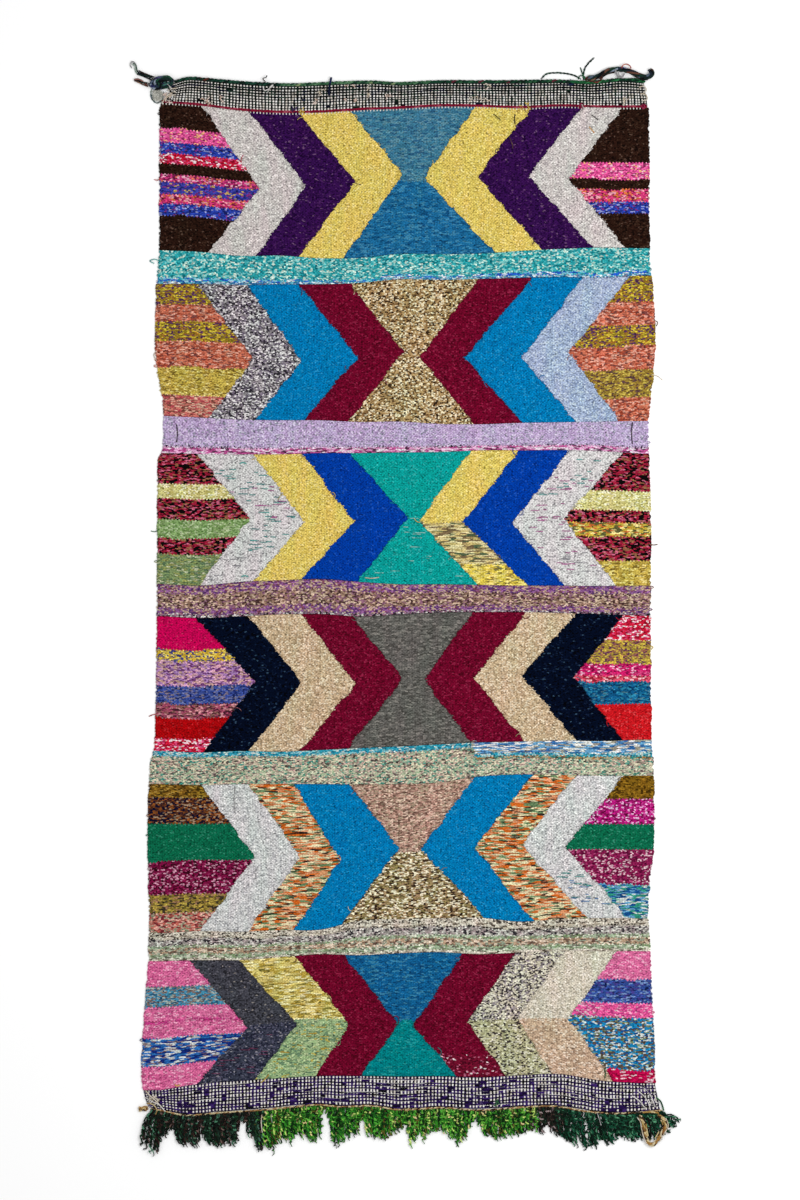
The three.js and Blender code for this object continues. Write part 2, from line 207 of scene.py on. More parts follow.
YARNS = {
    "brown_black": dyed("#2a160f 64 #160a07 20 #3a261c 12 #584238 4"),
    "pink_tweed": dyed("#f062a4 50 #c83a80 21 #f8bcd2 9 #963060 11 #f4b87c 9", run=1.2),
    "blue_tweed": dyed("#2c44b0 46 #1e2c80 22 #949cd4 14 #7c3078 12 #161c50 6", run=1.3),
    "pink_red_white": dyed("#cc1838 46 #f4dce0 17 #d84c7c 20 #980c28 17", run=1.4),
    "coral_tweed": dyed("#d03c80 42 #dc7058 14 #f0b4c8 15 #741c48 29", run=1.4),
    "blue_yellow_flecks": dyed("#4044ac 50 #242a78 24 #c4a45c 11 #80307c 15", run=1.4),
    "pink_orange": dyed("#d83c78 44 #d8743c 18 #f0a4b0 17 #801c44 21", run=1.5),
    "pale_grey": dyed("#cfc8c4 62 #b2aaaa 18 #ebe5e1 20", stray=0.14),
    "dark_purple": dyed("#340e4c 70 #200634 18 #4a225c 9 #6c4c70 3", stray=0.2),
    "soft_yellow": dyed("#e4cb68 64 #d0b552 22 #f2de90 14", stray=0.16),
    "steel_grey_blue": dyed("#3c7894 56 #5c8c9e 26 #2a5c80 18", run=2, stray=0.18),
    "steel_blue": dyed("#1c6a9a 60 #3c82a6 22 #10507e 18", run=2, stray=0.18),
    "turquoise_cream": dyed("#2ba0a6 36 #86ccc8 22 #cce4d6 14 #127a86 18 #4cb0b6 10", run=1.3),
    "blue_line": dyed("#2458c0 34 #7cc0d4 26 #dfe6ea 12 #2f9fae 28", run=2.5),
    "pale_turquoise": dyed("#5cacc0 30 #b8ccd8 22 #2f6fa3 28 #e6eef0 6 #8a7a8c 14", run=1.6),
    "olive_tweed": dyed("#8f7624 34 #d2ba3c 22 #552f58 26 #a06c2a 18", run=1.3),
    "salmon": dyed("#cd7258 42 #e2a490 20 #a0442f 22 #7c4440 16", run=1.6),
    "yellow_olive": dyed("#c8b050 50 #a48a34 22 #e4d484 18 #7c6428 10", run=1.6),
    "olive_brown": dyed("#9c8034 38 #c8b050 24 #5c4040 22 #8c6c2c 16", run=1.4),
    "crimson_pink_streak": dyed("#c87468 40 #b04850 18 #dcae98 24 #7a463c 18", run=2.0),
    "mauve_tweed": dyed("#8c868a 28 #e0dcdc 24 #2c2830 28 #7a6f80 20"),
    "bright_blue": dyed("#007cb8 76 #0068a4 16 #2490c4 8", stray=0.18),
    "burgundy": dyed("#700628 70 #54041a 18 #8c2040 12", stray=0.20),
    "burgundy_flecked": dyed("#74102d 67 #bc6884 9 #e8d4d8 4 #4c081c 20", run=1.1),
    "sand_tweed": dyed("#b59868 34 #ecdfbc 26 #38281a 18 #8a6a42 22"),
    "light_blue_grey": dyed("#a6b6d2 58 #8a9abc 22 #c6d4e4 20", stray=0.16),
    "lilac_dots": dyed("#bea8cf 58 #d4c6e0 21 #8c8c9c 10 #a086b0 11", stray=0.16),
    "magenta_line": dyed("#b8508e 32 #e0a6cc 30 #e6d6e2 24 #54304a 14", run=2.4),
    "dark_dots_lilac": dyed("#b79fc0 58 #34283c 24 #dccce2 18"),
    "red_black": dyed("#9c1c38 31 #0c0808 41 #946044 14 #c86480 14", run=1.6),
    "pale_yellow": dyed("#d6ce88 52 #b4aa62 24 #f0ecc8 24", run=1.4, stray=0.18),
    "light_green": dyed("#88a66a 46 #688a4c 26 #b0c496 28", run=1.4, stray=0.18),
    "green_olive": dyed("#7e9260 42 #949858 22 #5a7254 22 #b4b898 14", run=2.0),
    "yellow_orange": dyed("#c4ac40 34 #c46c34 19 #5c5c34 26 #e4d88c 21", run=2.4),
    "white_dashes": dyed("#dcd9d8 74 #b6b2b4 21 #8e8a8c 5", stray=0.14),
    "royal_blue": dyed("#003ca4 80 #00308e 13 #1c50b0 7", stray=0.16),
    "teal": dyed("#08a09a 78 #048a86 14 #34b0ac 8", stray=0.18),
    "mustard_yellow": dyed("#dcc44c 44 #f0dc80 28 #947e38 17 #74704c 11", run=2.4),
    "brown_streak": dyed("#c8b474 30 #786448 24 #546448 16 #e0d4a0 30", run=3.6),
    "purple_tweed": dyed("#8e5c90 34 #58346c 20 #bca08c 28 #7a4458 18", run=1.3),
    "brown_tweed": dyed("#957664 30 #d0b49e 24 #4a3230 24 #8a6074 22", run=1.3),
    "grey_speckle": dyed("#806c7c 30 #d0ccc8 22 #241c24 26 #9a6a80 22", run=1.2),
    "crimson": dyed("#cc0454 80 #ac0446 13 #d83468 7", stray=0.18),
    "yellow_blue": dyed("#d0ac34 36 #f0d868 20 #3c4080 26 #8a7468 18", run=1.2),
    "lilac_pink": dyed("#a87cb4 32 #dca8bc 24 #6c3870 26 #c0988c 18", run=1.6),
    "grey_blue_tweed": dyed("#3c509c 40 #6c74a4 16 #1c2864 32 #847884 12", run=1.4),
    "brown_red_pink": dyed("#a04862 34 #d49098 20 #4c2030 26 #8a5c54 20", run=1.6),
    "red": dyed("#b0060c 76 #920408 16 #c4242a 8", stray=0.18),
    "bright_red": dyed("#cc1820 74 #ac0e14 16 #dc4448 10", stray=0.18),
    "navy": dyed("#020a20 74 #010208 16 #101e38 8 #30485f 2", stray=0.2),
    "beige": dyed("#ccb290 54 #aa9070 22 #e8d6ba 24", stray=0.18),
    "warm_grey": dyed("#64625e 54 #4e4c48 26 #807c76 20", run=1.8, stray=0.18),
    "olive_purple": dyed("#a08838 36 #d0b448 22 #5c2c50 22 #94604a 20", run=1.3),
    "magenta_white": dyed("#d01c68 52 #ecb4cc 11 #8c1048 27 #d04c80 10", run=1.4),
    "pink_red": dyed("#dc506c 46 #b42840 22 #f0b4bc 17 #8c1c30 15", run=1.6),
    "dark_turquoise": dyed("#105c8a 46 #2c84a4 20 #083c64 24 #4c7888 10", run=1.5),
    "turquoise_line": dyed("#2c98b0 40 #84bcc4 24 #1c7490 20 #c8d4cc 16", run=1.5),
    "multi_tweed": dyed("#d8ceb2 32 #8fae94 18 #9a8a7c 18 #3f8c80 10 #504844 12 #c8a49c 10", run=1.3),
    "multi_green": dyed("#d2cdb4 34 #a0b090 22 #baa698 18 #508a78 12 #645454 14", run=1.3),
    "multi_orange": dyed("#a87844 24 #aca888 24 #2c7c74 28 #5c4c40 24", run=1.8),
    "sky_streak": dyed("#68a0c8 30 #e4e4e0 24 #2c6098 24 #a09c8c 22", run=3.4),
    "mustard": dyed("#7c5a1c 40 #a07c28 18 #42300e 30 #ac8c40 12", run=1.6),
    "dark_brown_tweed": dyed("#58301c 35 #945424 18 #100e28 34 #a08870 13", run=1.3),
    "green": dyed("#0a6a4a 76 #06583e 15 #30866a 9", stray=0.18),
    "burgundy_tweed": dyed("#7c1040 48 #cc90a8 16 #380818 26 #a03c68 10", run=1.1),
    "rose_tweed": dyed("#8c1c50 50 #d8b0bc 17 #5c0c34 24 #b85080 9", run=1.1),
    "olive_yellow": dyed("#847030 36 #b89f48 24 #3a3226 22 #a07858 18", run=1.4),
    "salmon_pink_red": dyed("#b86054 32 #e2ac9c 22 #7c2c34 26 #9a9a80 20", run=1.5),
    "cool_white": dyed("#d3d3d2 58 #b0b0b2 24 #eceae8 18", stray=0.18),
    "orange_space_dyed": dyed("#cc6420 26 #e2d6ac 30 #6c8860 16 #342824 10 #d8946a 18", run=3.6),
    "dusty_rose": dyed("#b89080 38 #dcbeaa 22 #785a4e 24 #a8947c 16", run=1.4),
    "brown_olive_cream": dyed("#a48864 28 #f0e6c8 24 #3a2a1e 24 #908050 24", run=1.4),
    "mustard_dark": dyed("#7d5a16 44 #9c7420 22 #463008 34", run=1.4),
    "magenta_tweed": dyed("#b8187a 48 #e6b4d8 15 #6c0c40 27 #cc50a0 10", run=1.1),
    "blue_green_tweed": dyed("#609cc0 28 #144c88 25 #309078 22 #d0d8d4 25", run=2.8),
    "cream_black": dyed("#dcd4c4 52 #443e38 24 #a89c8c 24"),
    "cream": dyed("#e0d8c8 54 #b4a896 27 #605448 19", run=2.2),
    "black_line": dyed("#302a26 42 #b8b0a0 58", run=2.6),
    "grey_mauve": dyed("#98928c 30 #dcd8d0 25 #302c32 23 #a49494 22", run=1.2),
    "soft_green": dyed("#a2b296 42 #80946c 22 #dedeca 22 #6c685c 14", run=1.6),
    "rose_brown": dyed("#b0947a 34 #e0ccb6 24 #6a5246 22 #98a08c 20", run=1.6),
    "pink": dyed("#e070a0 62 #c45288 22 #f2a8c6 16", run=1.5, stray=0.16),
    "turquoise_brown": dyed("#4890b0 34 #80706a 24 #2c5c7c 22 #a8b4b0 20", run=1.6),
    "magenta_thin": dyed("#cc3c88 60 #a83468 22 #e48ab0 18", run=1.8),
    "blue_light_tweed": dyed("#2c6cb4 34 #ccd0d0 20 #142c7c 31 #847074 15", run=2.8),
    "charcoal": dyed("#42434c 62 #2a2a30 24 #5c5c64 12 #8c8680 2", stray=0.18),
    "purple_grey": dyed("#3a3e4e 52 #222436 26 #5c5c70 17 #8a8890 5", stray=0.22),
    "yellow_mustard": dyed("#dcca78 44 #b49c40 22 #f2eab0 20 #847a38 14", run=3.0),
    "green_yellow_lines": dyed("#98b280 50 #b8c898 22 #b8a850 6 #6c8a6a 22", run=1.5),
    "deep_blue": dyed("#126296 58 #0c4c7c 24 #3880a4 18", run=2.0, stray=0.18),
    "deep_teal": dyed("#008488 72 #006e76 16 #249898 12", run=1.6, stray=0.18),
    "black_white_mauve": dyed("#c6bea8 28 #3a3436 25 #988e92 22 #eae4d0 25"),
    "pale_green_black": dyed("#c0bc96 38 #a09c76 22 #403836 20 #e0dcc6 20", run=1.2),
    "warm_cream": dyed("#dad0be 58 #bab09c 23 #f0e8da 19", stray=0.18),
    "beige_pink": dyed("#ccb094 54 #aa8e76 24 #ead8c2 22", run=1.4, stray=0.18),
    "blue_violet": dyed("#34509c 46 #463e8a 20 #7490c0 20 #162254 14", run=1.6),
    "pink_magenta": dyed("#e8589a 54 #b83a80 20 #f0a0c2 20 #d8c4c8 6", run=1.5),
    "turquoise_brown_white": dyed("#1884b8 34 #ccd4d0 18 #584a40 24 #145498 14 #788c64 10", run=1.4),
    "crimson_pink": dyed("#c80c50 60 #ecc0cc 9 #9c0838 31", run=1.5),
}


# Patterns: the lines that part the zones across, each with its x at the top, the x and y of its tip
# and its x at the foot, and for each zone its yarns from the head down with their heights

def pattern(lines, *zones):
    return {"lines": lines, "zones": [mix(zone) for zone in zones]}


PATTERNS = {
    "panel_1": pattern(
        (
            (-621, -447, 1287, -606), (-478, -309, 1293, -459), (-332, -159, 1308, -332),
            (-177, -18, 1329, -198), (201, 45, 1317, 261), (366, 204, 1323, 399),
            (519, 360, 1320, 552), (639, 480, 1314, 648),
        ),
        "brown_black 72 pink_tweed 42 blue_tweed 33 pink_red_white 30 brown_black 30 coral_tweed 24 "
        "blue_yellow_flecks 36 pink_orange 27 blue_tweed 33 brown_black 102",
        "pale_grey 1", "dark_purple 1", "soft_yellow 1", "steel_grey_blue 215 steel_blue 215",
        "soft_yellow 1", "dark_purple 1", "pale_grey 1",
        "brown_black 165 pink_tweed 51 brown_black 30 pink_orange 39 blue_tweed 33 brown_black 105",
    ),
    "panel_2": pattern(
        (
            (-636, -465, 777, -600), (-486, -321, 771, -462), (-332, -154, 780, -315),
            (-177, -18, 795, -182), (208, 30, 780, 198), (372, 168, 780, 339),
            (525, 339, 780, 501), (663, 480, 795, 632),
        ),
        "olive_tweed 61 salmon 54 olive_tweed 60 salmon 78 yellow_olive 84 crimson_pink_streak 66",
        "mauve_tweed 1", "bright_blue 1", "burgundy 1", "sand_tweed 1", "burgundy 1", "bright_blue 1",
        "light_blue_grey 1", "olive_tweed 75 salmon 69 olive_tweed 63 salmon 72 olive_brown 84 salmon 69",
    ),
    "panel_3": pattern(
        (
            (-633, -474, 297, -627), (-465, -315, 285, -468), (-321, -168, 285, -321),
            (-177, -6, 297, -154), (186, 30, 288, 204), (327, 162, 285, 357),
            (484, 310, 282, 471), (639, 465, 294, 621),
        ),
        "red_black 90 pale_yellow 45 red_black 63 light_green 54 red_black 48 green_olive 90",
        "white_dashes 1", "soft_yellow 1", "royal_blue 1", "teal 1",
        "soft_yellow 205 brown_streak 120 mustard_yellow 60", "royal_blue 1", "white_dashes 1",
        "red_black 114 pale_yellow 60 red_black 36 yellow_orange 42 red_black 69 yellow_olive 75",
    ),
    "panel_4": pattern(
        (
            (-639, -462, -195, -618), (-483, -321, -195, -482), (-328, -159, -201, -328),
            (-171, -18, -183, -183), (195, 45, -186, 183), (354, 198, -183, 348),
            (501, 336, -177, 501), (645, 498, -180, 642),
        ),
        "crimson 96 yellow_blue 36 lilac_pink 75 grey_blue_tweed 54 brown_red_pink 42 red 60 "
        "pink_red_white 42",
        "navy 1", "beige 1", "burgundy 1", "warm_grey 1", "burgundy 1", "beige 1", "navy 1",
        "pink_red_white 75 olive_purple 69 magenta_white 36 pink_red 18 dark_turquoise 66 bright_red "
        "108",
    ),
    "panel_5": pattern(
        (
            (-624, -462, -720, -627), (-482, -328, -720, -482), (-345, -206, -726, -345),
            (-177, -28, -696, -198), (192, 34, -696, 225), (372, 195, -693, 378),
            (504, 338, -684, 536), (642, 468, -690, 654),
        ),
        "mustard 39 dark_brown_tweed 78 green 114 burgundy_tweed 99 olive_yellow 57 salmon_pink_red "
        "57",
        "cool_white 1", "orange_space_dyed 1", "bright_blue 1", "dusty_rose 205 brown_olive_cream 205",
        "bright_blue 1", "orange_space_dyed 1", "cool_white 1",
        "mustard_dark 69 magenta_tweed 75 green 75 rose_tweed 105 blue_green_tweed 102",
    ),
    "panel_6": pattern(
        (
            (-660, -483, -1230, -636), (-510, -332, -1221, -462), (-348, -177, -1221, -279),
            (-195, -32, -1224, -144), (162, 12, -1227, 144), (318, 176, -1215, 291),
            (468, 327, -1203, 429), (620, 477, -1203, 612),
        ),
        "pink 78 turquoise_brown 63 pink 42 magenta_thin 6 pink 45 blue_light_tweed 84 pink 69",
        "charcoal 200 purple_grey 170", "yellow_mustard 195 green_yellow_lines 170", "burgundy 1",
        "deep_blue 200 deep_teal 165", "burgundy 300 burgundy_flecked 65",
        "black_white_mauve 200 pale_green_black 165", "warm_cream 200 beige_pink 165",
        "pink 87 blue_violet 72 pink_magenta 45 turquoise_brown_white 159 crimson_pink 39",
    ),
    "crossband_1": pattern(
        (),
        "turquoise_cream 76 blue_line 10 pale_turquoise 6",
    ),
    "crossband_2": pattern(
        (),
        "lilac_dots 74 dark_dots_lilac 6 magenta_line 16",
    ),
    "crossband_3": pattern(
        (),
        "purple_tweed 26 brown_tweed 44 purple_tweed 16 grey_speckle 8",
    ),
    "crossband_4": pattern(
        ((190, 196, -430, 200),),
        "turquoise_line 14 multi_tweed 44 multi_green 18 multi_tweed 20",
        "sky_streak 34 turquoise_line 9 multi_orange 9 multi_tweed 22 multi_green 26",
    ),
    "crossband_5": pattern(
        (),
        "cream_black 12 cream 7 black_line 4 grey_mauve 22 soft_green 9 rose_brown 19 soft_green 14 "
        "cream 7",
    ),
}
FIELD = 5.0
CROSSBAND = 5.6
BAND_BORDERS = ["burgundy_foot"]
for k in range(1, 6):
    BAND_BORDERS += [f"crossband_{k}_top", f"crossband_{k}_foot"]
BAND_BORDERS.append("foot_band_top")


# Materials

LIGHT = 1.27  # how much brighter than its own colour a white surface comes out in this light
TOP_ALBEDO = 0.92
DARK_YARN = 0.2  # yarns below this brightness count as dark
GAP_SHADE = 1.1  # how much painted shade darkens the gaps between fibres
STREAK = 0.18  # how far the shade strays in soft streaks


def to_linear(value):
    return value / 12.92 if value <= 0.04045 else ((value + 0.055) / 1.055) ** 2.4


def albedo(code, light=LIGHT):
    """Surface colour that comes out as this screen colour in the scene's light."""
    parts = [int(code[k:k + 2], 16) / 255 for k in (1, 3, 5)]
    return tuple(min(to_linear(p) / light, TOP_ALBEDO) for p in parts) + (1.0,)


def brightness(colours):
    total = sum(share for _, share in colours)
    weights = (0.21, 0.72, 0.07)
    return sum(
        share / total * sum(w * c for w, c in zip(weights, albedo(code, 1.0))) for code, share in colours
    )


def connect(tree, value, socket):
    """Gives a socket a number, a colour or the output of another node."""
    if isinstance(value, Value):
        value = value.socket
    if isinstance(value, bpy.types.NodeSocket):
        tree.links.new(value, socket)
    else:
        socket.default_value = value


def node(tree, kind, given=None, **settings):
    """A shader node with its settings and with what is given to its inputs, by name or number."""
    made = tree.nodes.new(kind)
    for key, value in settings.items():
        setattr(made, key, value)
    for key, value in (given or {}).items():
        connect(tree, value, made.inputs[key])
    return made


def math_value(tree, operation, first, second=None, clamp=False):
    given = {0: first} if second is None else {0: first, 1: second}
    made = node(tree, "ShaderNodeMath", given, operation=operation, use_clamp=clamp)
    return Value(tree, made.outputs[0])


class Value:
    """A number inside a shader. Sums and products of values become math nodes."""

    def __init__(self, tree, socket):
        self.tree = tree
        self.socket = socket

    def math(self, operation, other=None):
        return math_value(self.tree, operation, self, other)

    def __add__(self, other):
        return self.math("ADD", other)

    def __sub__(self, other):
        return self.math("SUBTRACT", other)

    def __rsub__(self, other):
        return math_value(self.tree, "SUBTRACT", other, self)

    def __mul__(self, other):
        return self.math("MULTIPLY", other)

    def __truediv__(self, other):
        return self.math("DIVIDE", other)

    def __pow__(self, other):
        return self.math("POWER", other)


def parts_of(tree, vector):
    """The three numbers of a vector."""
    split = node(tree, "ShaderNodeSeparateXYZ", {0: vector})
    return [Value(tree, part) for part in split.outputs]


def vector_of(tree, x, y):
    return node(tree, "ShaderNodeCombineXYZ", {0: x, 1: y}).outputs[0]


def cells(tree, x, y):
    """Outputs of an irregular pattern of cells about one wide."""
    given = {"Vector": vector_of(tree, x, y), "Scale": 1.0, "Randomness": 1.0}
    return node(tree, "ShaderNodeTexVoronoi", given, voronoi_dimensions="2D", feature="F1").outputs


def clouds(tree, x, y, detail, roughness=0.5):
    given = {"Vector": vector_of(tree, x, y), "Scale": 1.0, "Detail": detail, "Roughness": roughness}
    return node(tree, "ShaderNodeTexNoise", given, noise_dimensions="2D").outputs[0]


def bead_group():
    """Beads of a weft-faced weave, from a map in warps and beads: how high the bead stands here,
    which fleck of the yarn this is, how far this is from the middle of a fleck, for painted shade in
    the gaps, and how the shade strays from bead to bead and in streaks."""
    tree = bpy.data.node_groups.new("beads", "ShaderNodeTree")
    for name in ("Run", "Seed"):
        tree.interface.new_socket(name=name, in_out="INPUT", socket_type="NodeSocketFloat")
    given = node(tree, "NodeGroupInput").outputs
    weave = node(tree, "ShaderNodeUVMap", uv_map="weave")
    x, y, _ = parts_of(tree, weave.outputs[0])
    even = 1.0 - x.math("FLOOR").math("MODULO", 2.0)
    shifted = y + even * 0.5
    # Flecks of the spun yarn: irregular cells, longer along the weft where the run is long
    moved = x * 0.95 / given["Run"] + Value(tree, given["Seed"]) * 7.3
    tall = y * 2.6
    fleck = node(tree, "ShaderNodeSeparateColor", {0: cells(tree, moved, tall)["Color"]})
    # A bead is a rounded oblong. Fine ridges across it are the plies of the yarn.
    side = ((x.math("FRACT") - 0.5) * 2).math("ABSOLUTE") ** 2.4
    end = ((shifted.math("FRACT") - 0.5) * 2).math("ABSOLUTE") ** 3.0
    dome = math_value(tree, "SUBTRACT", 1.0, side.math("MAXIMUM", end), clamp=True)
    plies = (x * 7.0 + shifted * 17.0).math("SINE") * 0.10
    results = {
        "Pick": fleck.outputs[0],
        "Tone": fleck.outputs[1],
        # GapShade feeds the painted shade in the gaps between the flecks
        "GapShade": cells(tree, x * 0.9, tall)["Distance"],
        "Height": dome + plies,
        "Streak": clouds(tree, x * 0.16, y * 0.9, 3.0, 0.6),
        "Drift": clouds(tree, x * 0.11, y * 0.055, 2.0),
    }
    for name in results:
        tree.interface.new_socket(name=name, in_out="OUTPUT", socket_type="NodeSocketFloat")
    node(tree, "NodeGroupOutput", results)
    return tree


def ramp_colour(tree, colours, place):
    """The colour at a place from 0 to 1 in a row of colours, each as wide as its share."""
    ramp = node(tree, "ShaderNodeValToRGB", {"Fac": place})
    ramp.color_ramp.interpolation = "CONSTANT"
    total = sum(share for _, share in colours)
    elements = ramp.color_ramp.elements
    elements[0].color = albedo(colours[0][0])
    elements.remove(elements[1])
    reached = colours[0][1] / total
    for code, share in colours[1:]:
        elements.new(reached).color = albedo(code)
        reached += share / total
    return ramp.outputs["Color"]


def mixed(tree, kind, factor, first, second):
    given = {0: factor, 6: first, 7: second}
    return node(tree, "ShaderNodeMix", given, data_type="RGBA", blend_type=kind).outputs[2]


def spread(value, amount):
    """A random number turned into a factor round 1."""
    return (value - 0.5) * (2 * amount) + 1.0


def new_material(name):
    material = bpy.data.materials.new(name)
    material.use_nodes = True
    return material, material.node_tree


def finish_shader(tree, colour, factor, height, relief, roughness, sheen):
    """Gives the shader the colour times a factor, and a bump of this relief in metres."""
    shaded = node(tree, "ShaderNodeVectorMath", {0: colour, "Scale": factor}, operation="SCALE")
    bump = node(tree, "ShaderNodeBump", {"Strength": 0.8, "Distance": relief, "Height": height})
    given = {
        "Base Color": shaded.outputs[0], "Roughness": roughness, "Specular IOR Level": 0.03,
        "Sheen Weight": sheen, "Sheen Roughness": 0.5, "Normal": bump.outputs[0],
    }
    for key, value in given.items():
        connect(tree, value, tree.nodes["Principled BSDF"].inputs[key])


BEADS = bead_group()
made_yarns = {}
made_strands = {}


def yarn(name):
    """Material of a weft-faced field in this yarn."""
    if name in made_yarns:
        return made_yarns[name]
    facts = YARNS[name]
    material, tree = new_material("yarn_" + name)
    given = {"Run": facts["run"], "Seed": len(made_yarns) + 0.5}
    beads = node(tree, "ShaderNodeGroup", given, node_tree=BEADS)
    out = {key: Value(tree, socket) for key, socket in beads.outputs.items()}
    colour = ramp_colour(tree, facts["colours"], out["Pick"])
    # At a line between two fields the yarn turns back. Painted shade darkens the slit, and on light yarns
    # a painted highlight lightens the ridge beside it
    groove = Value(tree, node(tree, "ShaderNodeAttribute", attribute_name="slit").outputs["Fac"])
    dark = brightness(facts["colours"]) < DARK_YARN
    away = (groove - 0.55).math("ABSOLUTE")
    ridge = math_value(tree, "SUBTRACT", 1.0, away * 3.2, clamp=True)
    edge = 1.0 - groove ** 3.0 * (0.60 if dark else 0.22) + ridge * (0.0 if dark else 0.16)
    # Painted shade and highlight on each bead: lighter at its top, darker towards its sides, its ends and
    # the grooves between its plies
    low = out["Height"] * 0.40 + 0.76
    # Painted shade in the gaps between the flecks: darker away from the middle of each fleck
    gap_shade = 1.28 - out["GapShade"] ** 2.0 * GAP_SHADE
    factor = spread(out["Tone"], facts["stray"]) * edge * low * gap_shade
    factor = factor * spread(out["Streak"], STREAK)
    tint = mixed(tree, "MIX", out["Drift"], (0.90, 1.04, 0.97, 1.0), (1.10, 0.97, 1.03, 1.0))
    tinted = mixed(tree, "MULTIPLY", 1.0, colour, tint)
    finish_shader(tree, tinted, factor, out["Height"], 0.0008, 0.9, 0.0)
    made_yarns[name] = material
    return material


def strand(name, colours, twist=5.0, stray=0.18, deep=False):
    """Material of a loose yarn. Its map runs along the yarn in diameters and round it. Painted shade
    darkens the grooves between the plies. A deep pile gets painted shade low down, where the light
    doesn't reach, and a painted highlight at its top."""
    if name in made_strands:
        return made_strands[name]
    material, tree = new_material("strand_" + name)
    weave = node(tree, "ShaderNodeUVMap", uv_map="weave").outputs[0]
    along, around, _ = parts_of(tree, weave)
    ply = (along * twist + around.math("FRACT") * (4 * math.pi)).math("SINE")
    place = vector_of(tree, (along * 0.35).math("FLOOR"), around.math("FLOOR"))
    white = node(tree, "ShaderNodeTexWhiteNoise", {"Vector": place}, noise_dimensions="2D")
    colour = ramp_colour(tree, colours, white.outputs["Value"])
    given = {"Vector": weave, "Scale": 2.2, "Detail": 2.0}
    fine = node(tree, "ShaderNodeTexNoise", given, noise_dimensions="2D")
    # The ply stripe is painted shade in the grooves between the plies and a painted highlight on their
    # crests
    factor = spread(Value(tree, fine.outputs[0]), stray * 2) * (ply * 0.12 + 0.94)
    # A deep pile: painted shade low down and a painted highlight high up, by height above the floor
    if deep:
        room = node(tree, "ShaderNodeNewGeometry").outputs["Position"]
        rise = math_value(tree, "MULTIPLY", parts_of(tree, room)[2] - 0.003, 160.0, clamp=True)
        factor = factor * (rise * 1.3 + 0.2)
    finish_shader(tree, colour, factor, ply, 0.0005, 0.88, 0.05)
    made_strands[name] = material
    return material


# Meshes made from arrays

def add_object(name, data):
    """A new object in the scene."""
    made = bpy.data.objects.new(name, data)
    bpy.context.scene.collection.objects.link(made)
    return made


def declare(made, replaced, slot):
    """Hangs a piece on the one body of the whole rug, and hides the CAD node that it replaces."""
    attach(made, "root")
    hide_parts(replaced)
    return made


def corners_of(faces):
    """Corner numbers of faces one after another. Faces are a list, or an array with a face a row."""
    if isinstance(faces, np.ndarray):
        return faces.ravel()
    return np.concatenate([np.asarray(face) for face in faces])


def make_mesh(name, points, faces, marks, materials, maps=(), values=()):
    """A mesh object. Points are in millimetres, marks name each face's material, maps are (name,
    corner coordinates) and values (name, a number a point)."""
    mesh = bpy.data.meshes.new(name)
    sizes = np.array([len(face) for part in faces for face in part])
    corners = np.concatenate([corners_of(part) for part in faces])
    mesh.vertices.add(len(points))
    mesh.vertices.foreach_set("co", (np.asarray(points, float) * MM).astype(np.float32).ravel())
    mesh.loops.add(len(corners))
    mesh.loops.foreach_set("vertex_index", corners.astype(np.int32))
    mesh.polygons.add(len(sizes))
    starts = np.concatenate([[0], np.cumsum(sizes)[:-1]])
    mesh.polygons.foreach_set("loop_start", starts.astype(np.int32))
    for material in materials:
        mesh.materials.append(material)
    mesh.polygons.foreach_set("material_index", np.asarray(marks, np.int32))
    mesh.polygons.foreach_set("use_smooth", np.ones(len(sizes), bool))
    mesh.update(calc_edges=True)
    for map_name, coordinates in maps:
        layer = mesh.uv_layers.new(name=map_name)
        layer.data.foreach_set("uv", np.asarray(coordinates, np.float32).ravel())
    for value_name, numbers in values:
        attribute = mesh.attributes.new(value_name, "FLOAT", "POINT")
        attribute.data.foreach_set("value", np.asarray(numbers, np.float32))
    mesh.validate()
    return add_object(name, mesh)


# Woven bands

WARPS = 300
SIDE_COLUMNS = 2  # columns of a rounded selvedge, on each side
WIDE = WARPS + 1 + 2 * SIDE_COLUMNS  # points in a row of the lattice
BEAD_ROW = 9.0  # height of a bead
COARSE = 4  # lattice steps to a face of the underside
LOW = 0.3  # height of the underside
LINE_STEP = 26.0  # how often a woven line turns


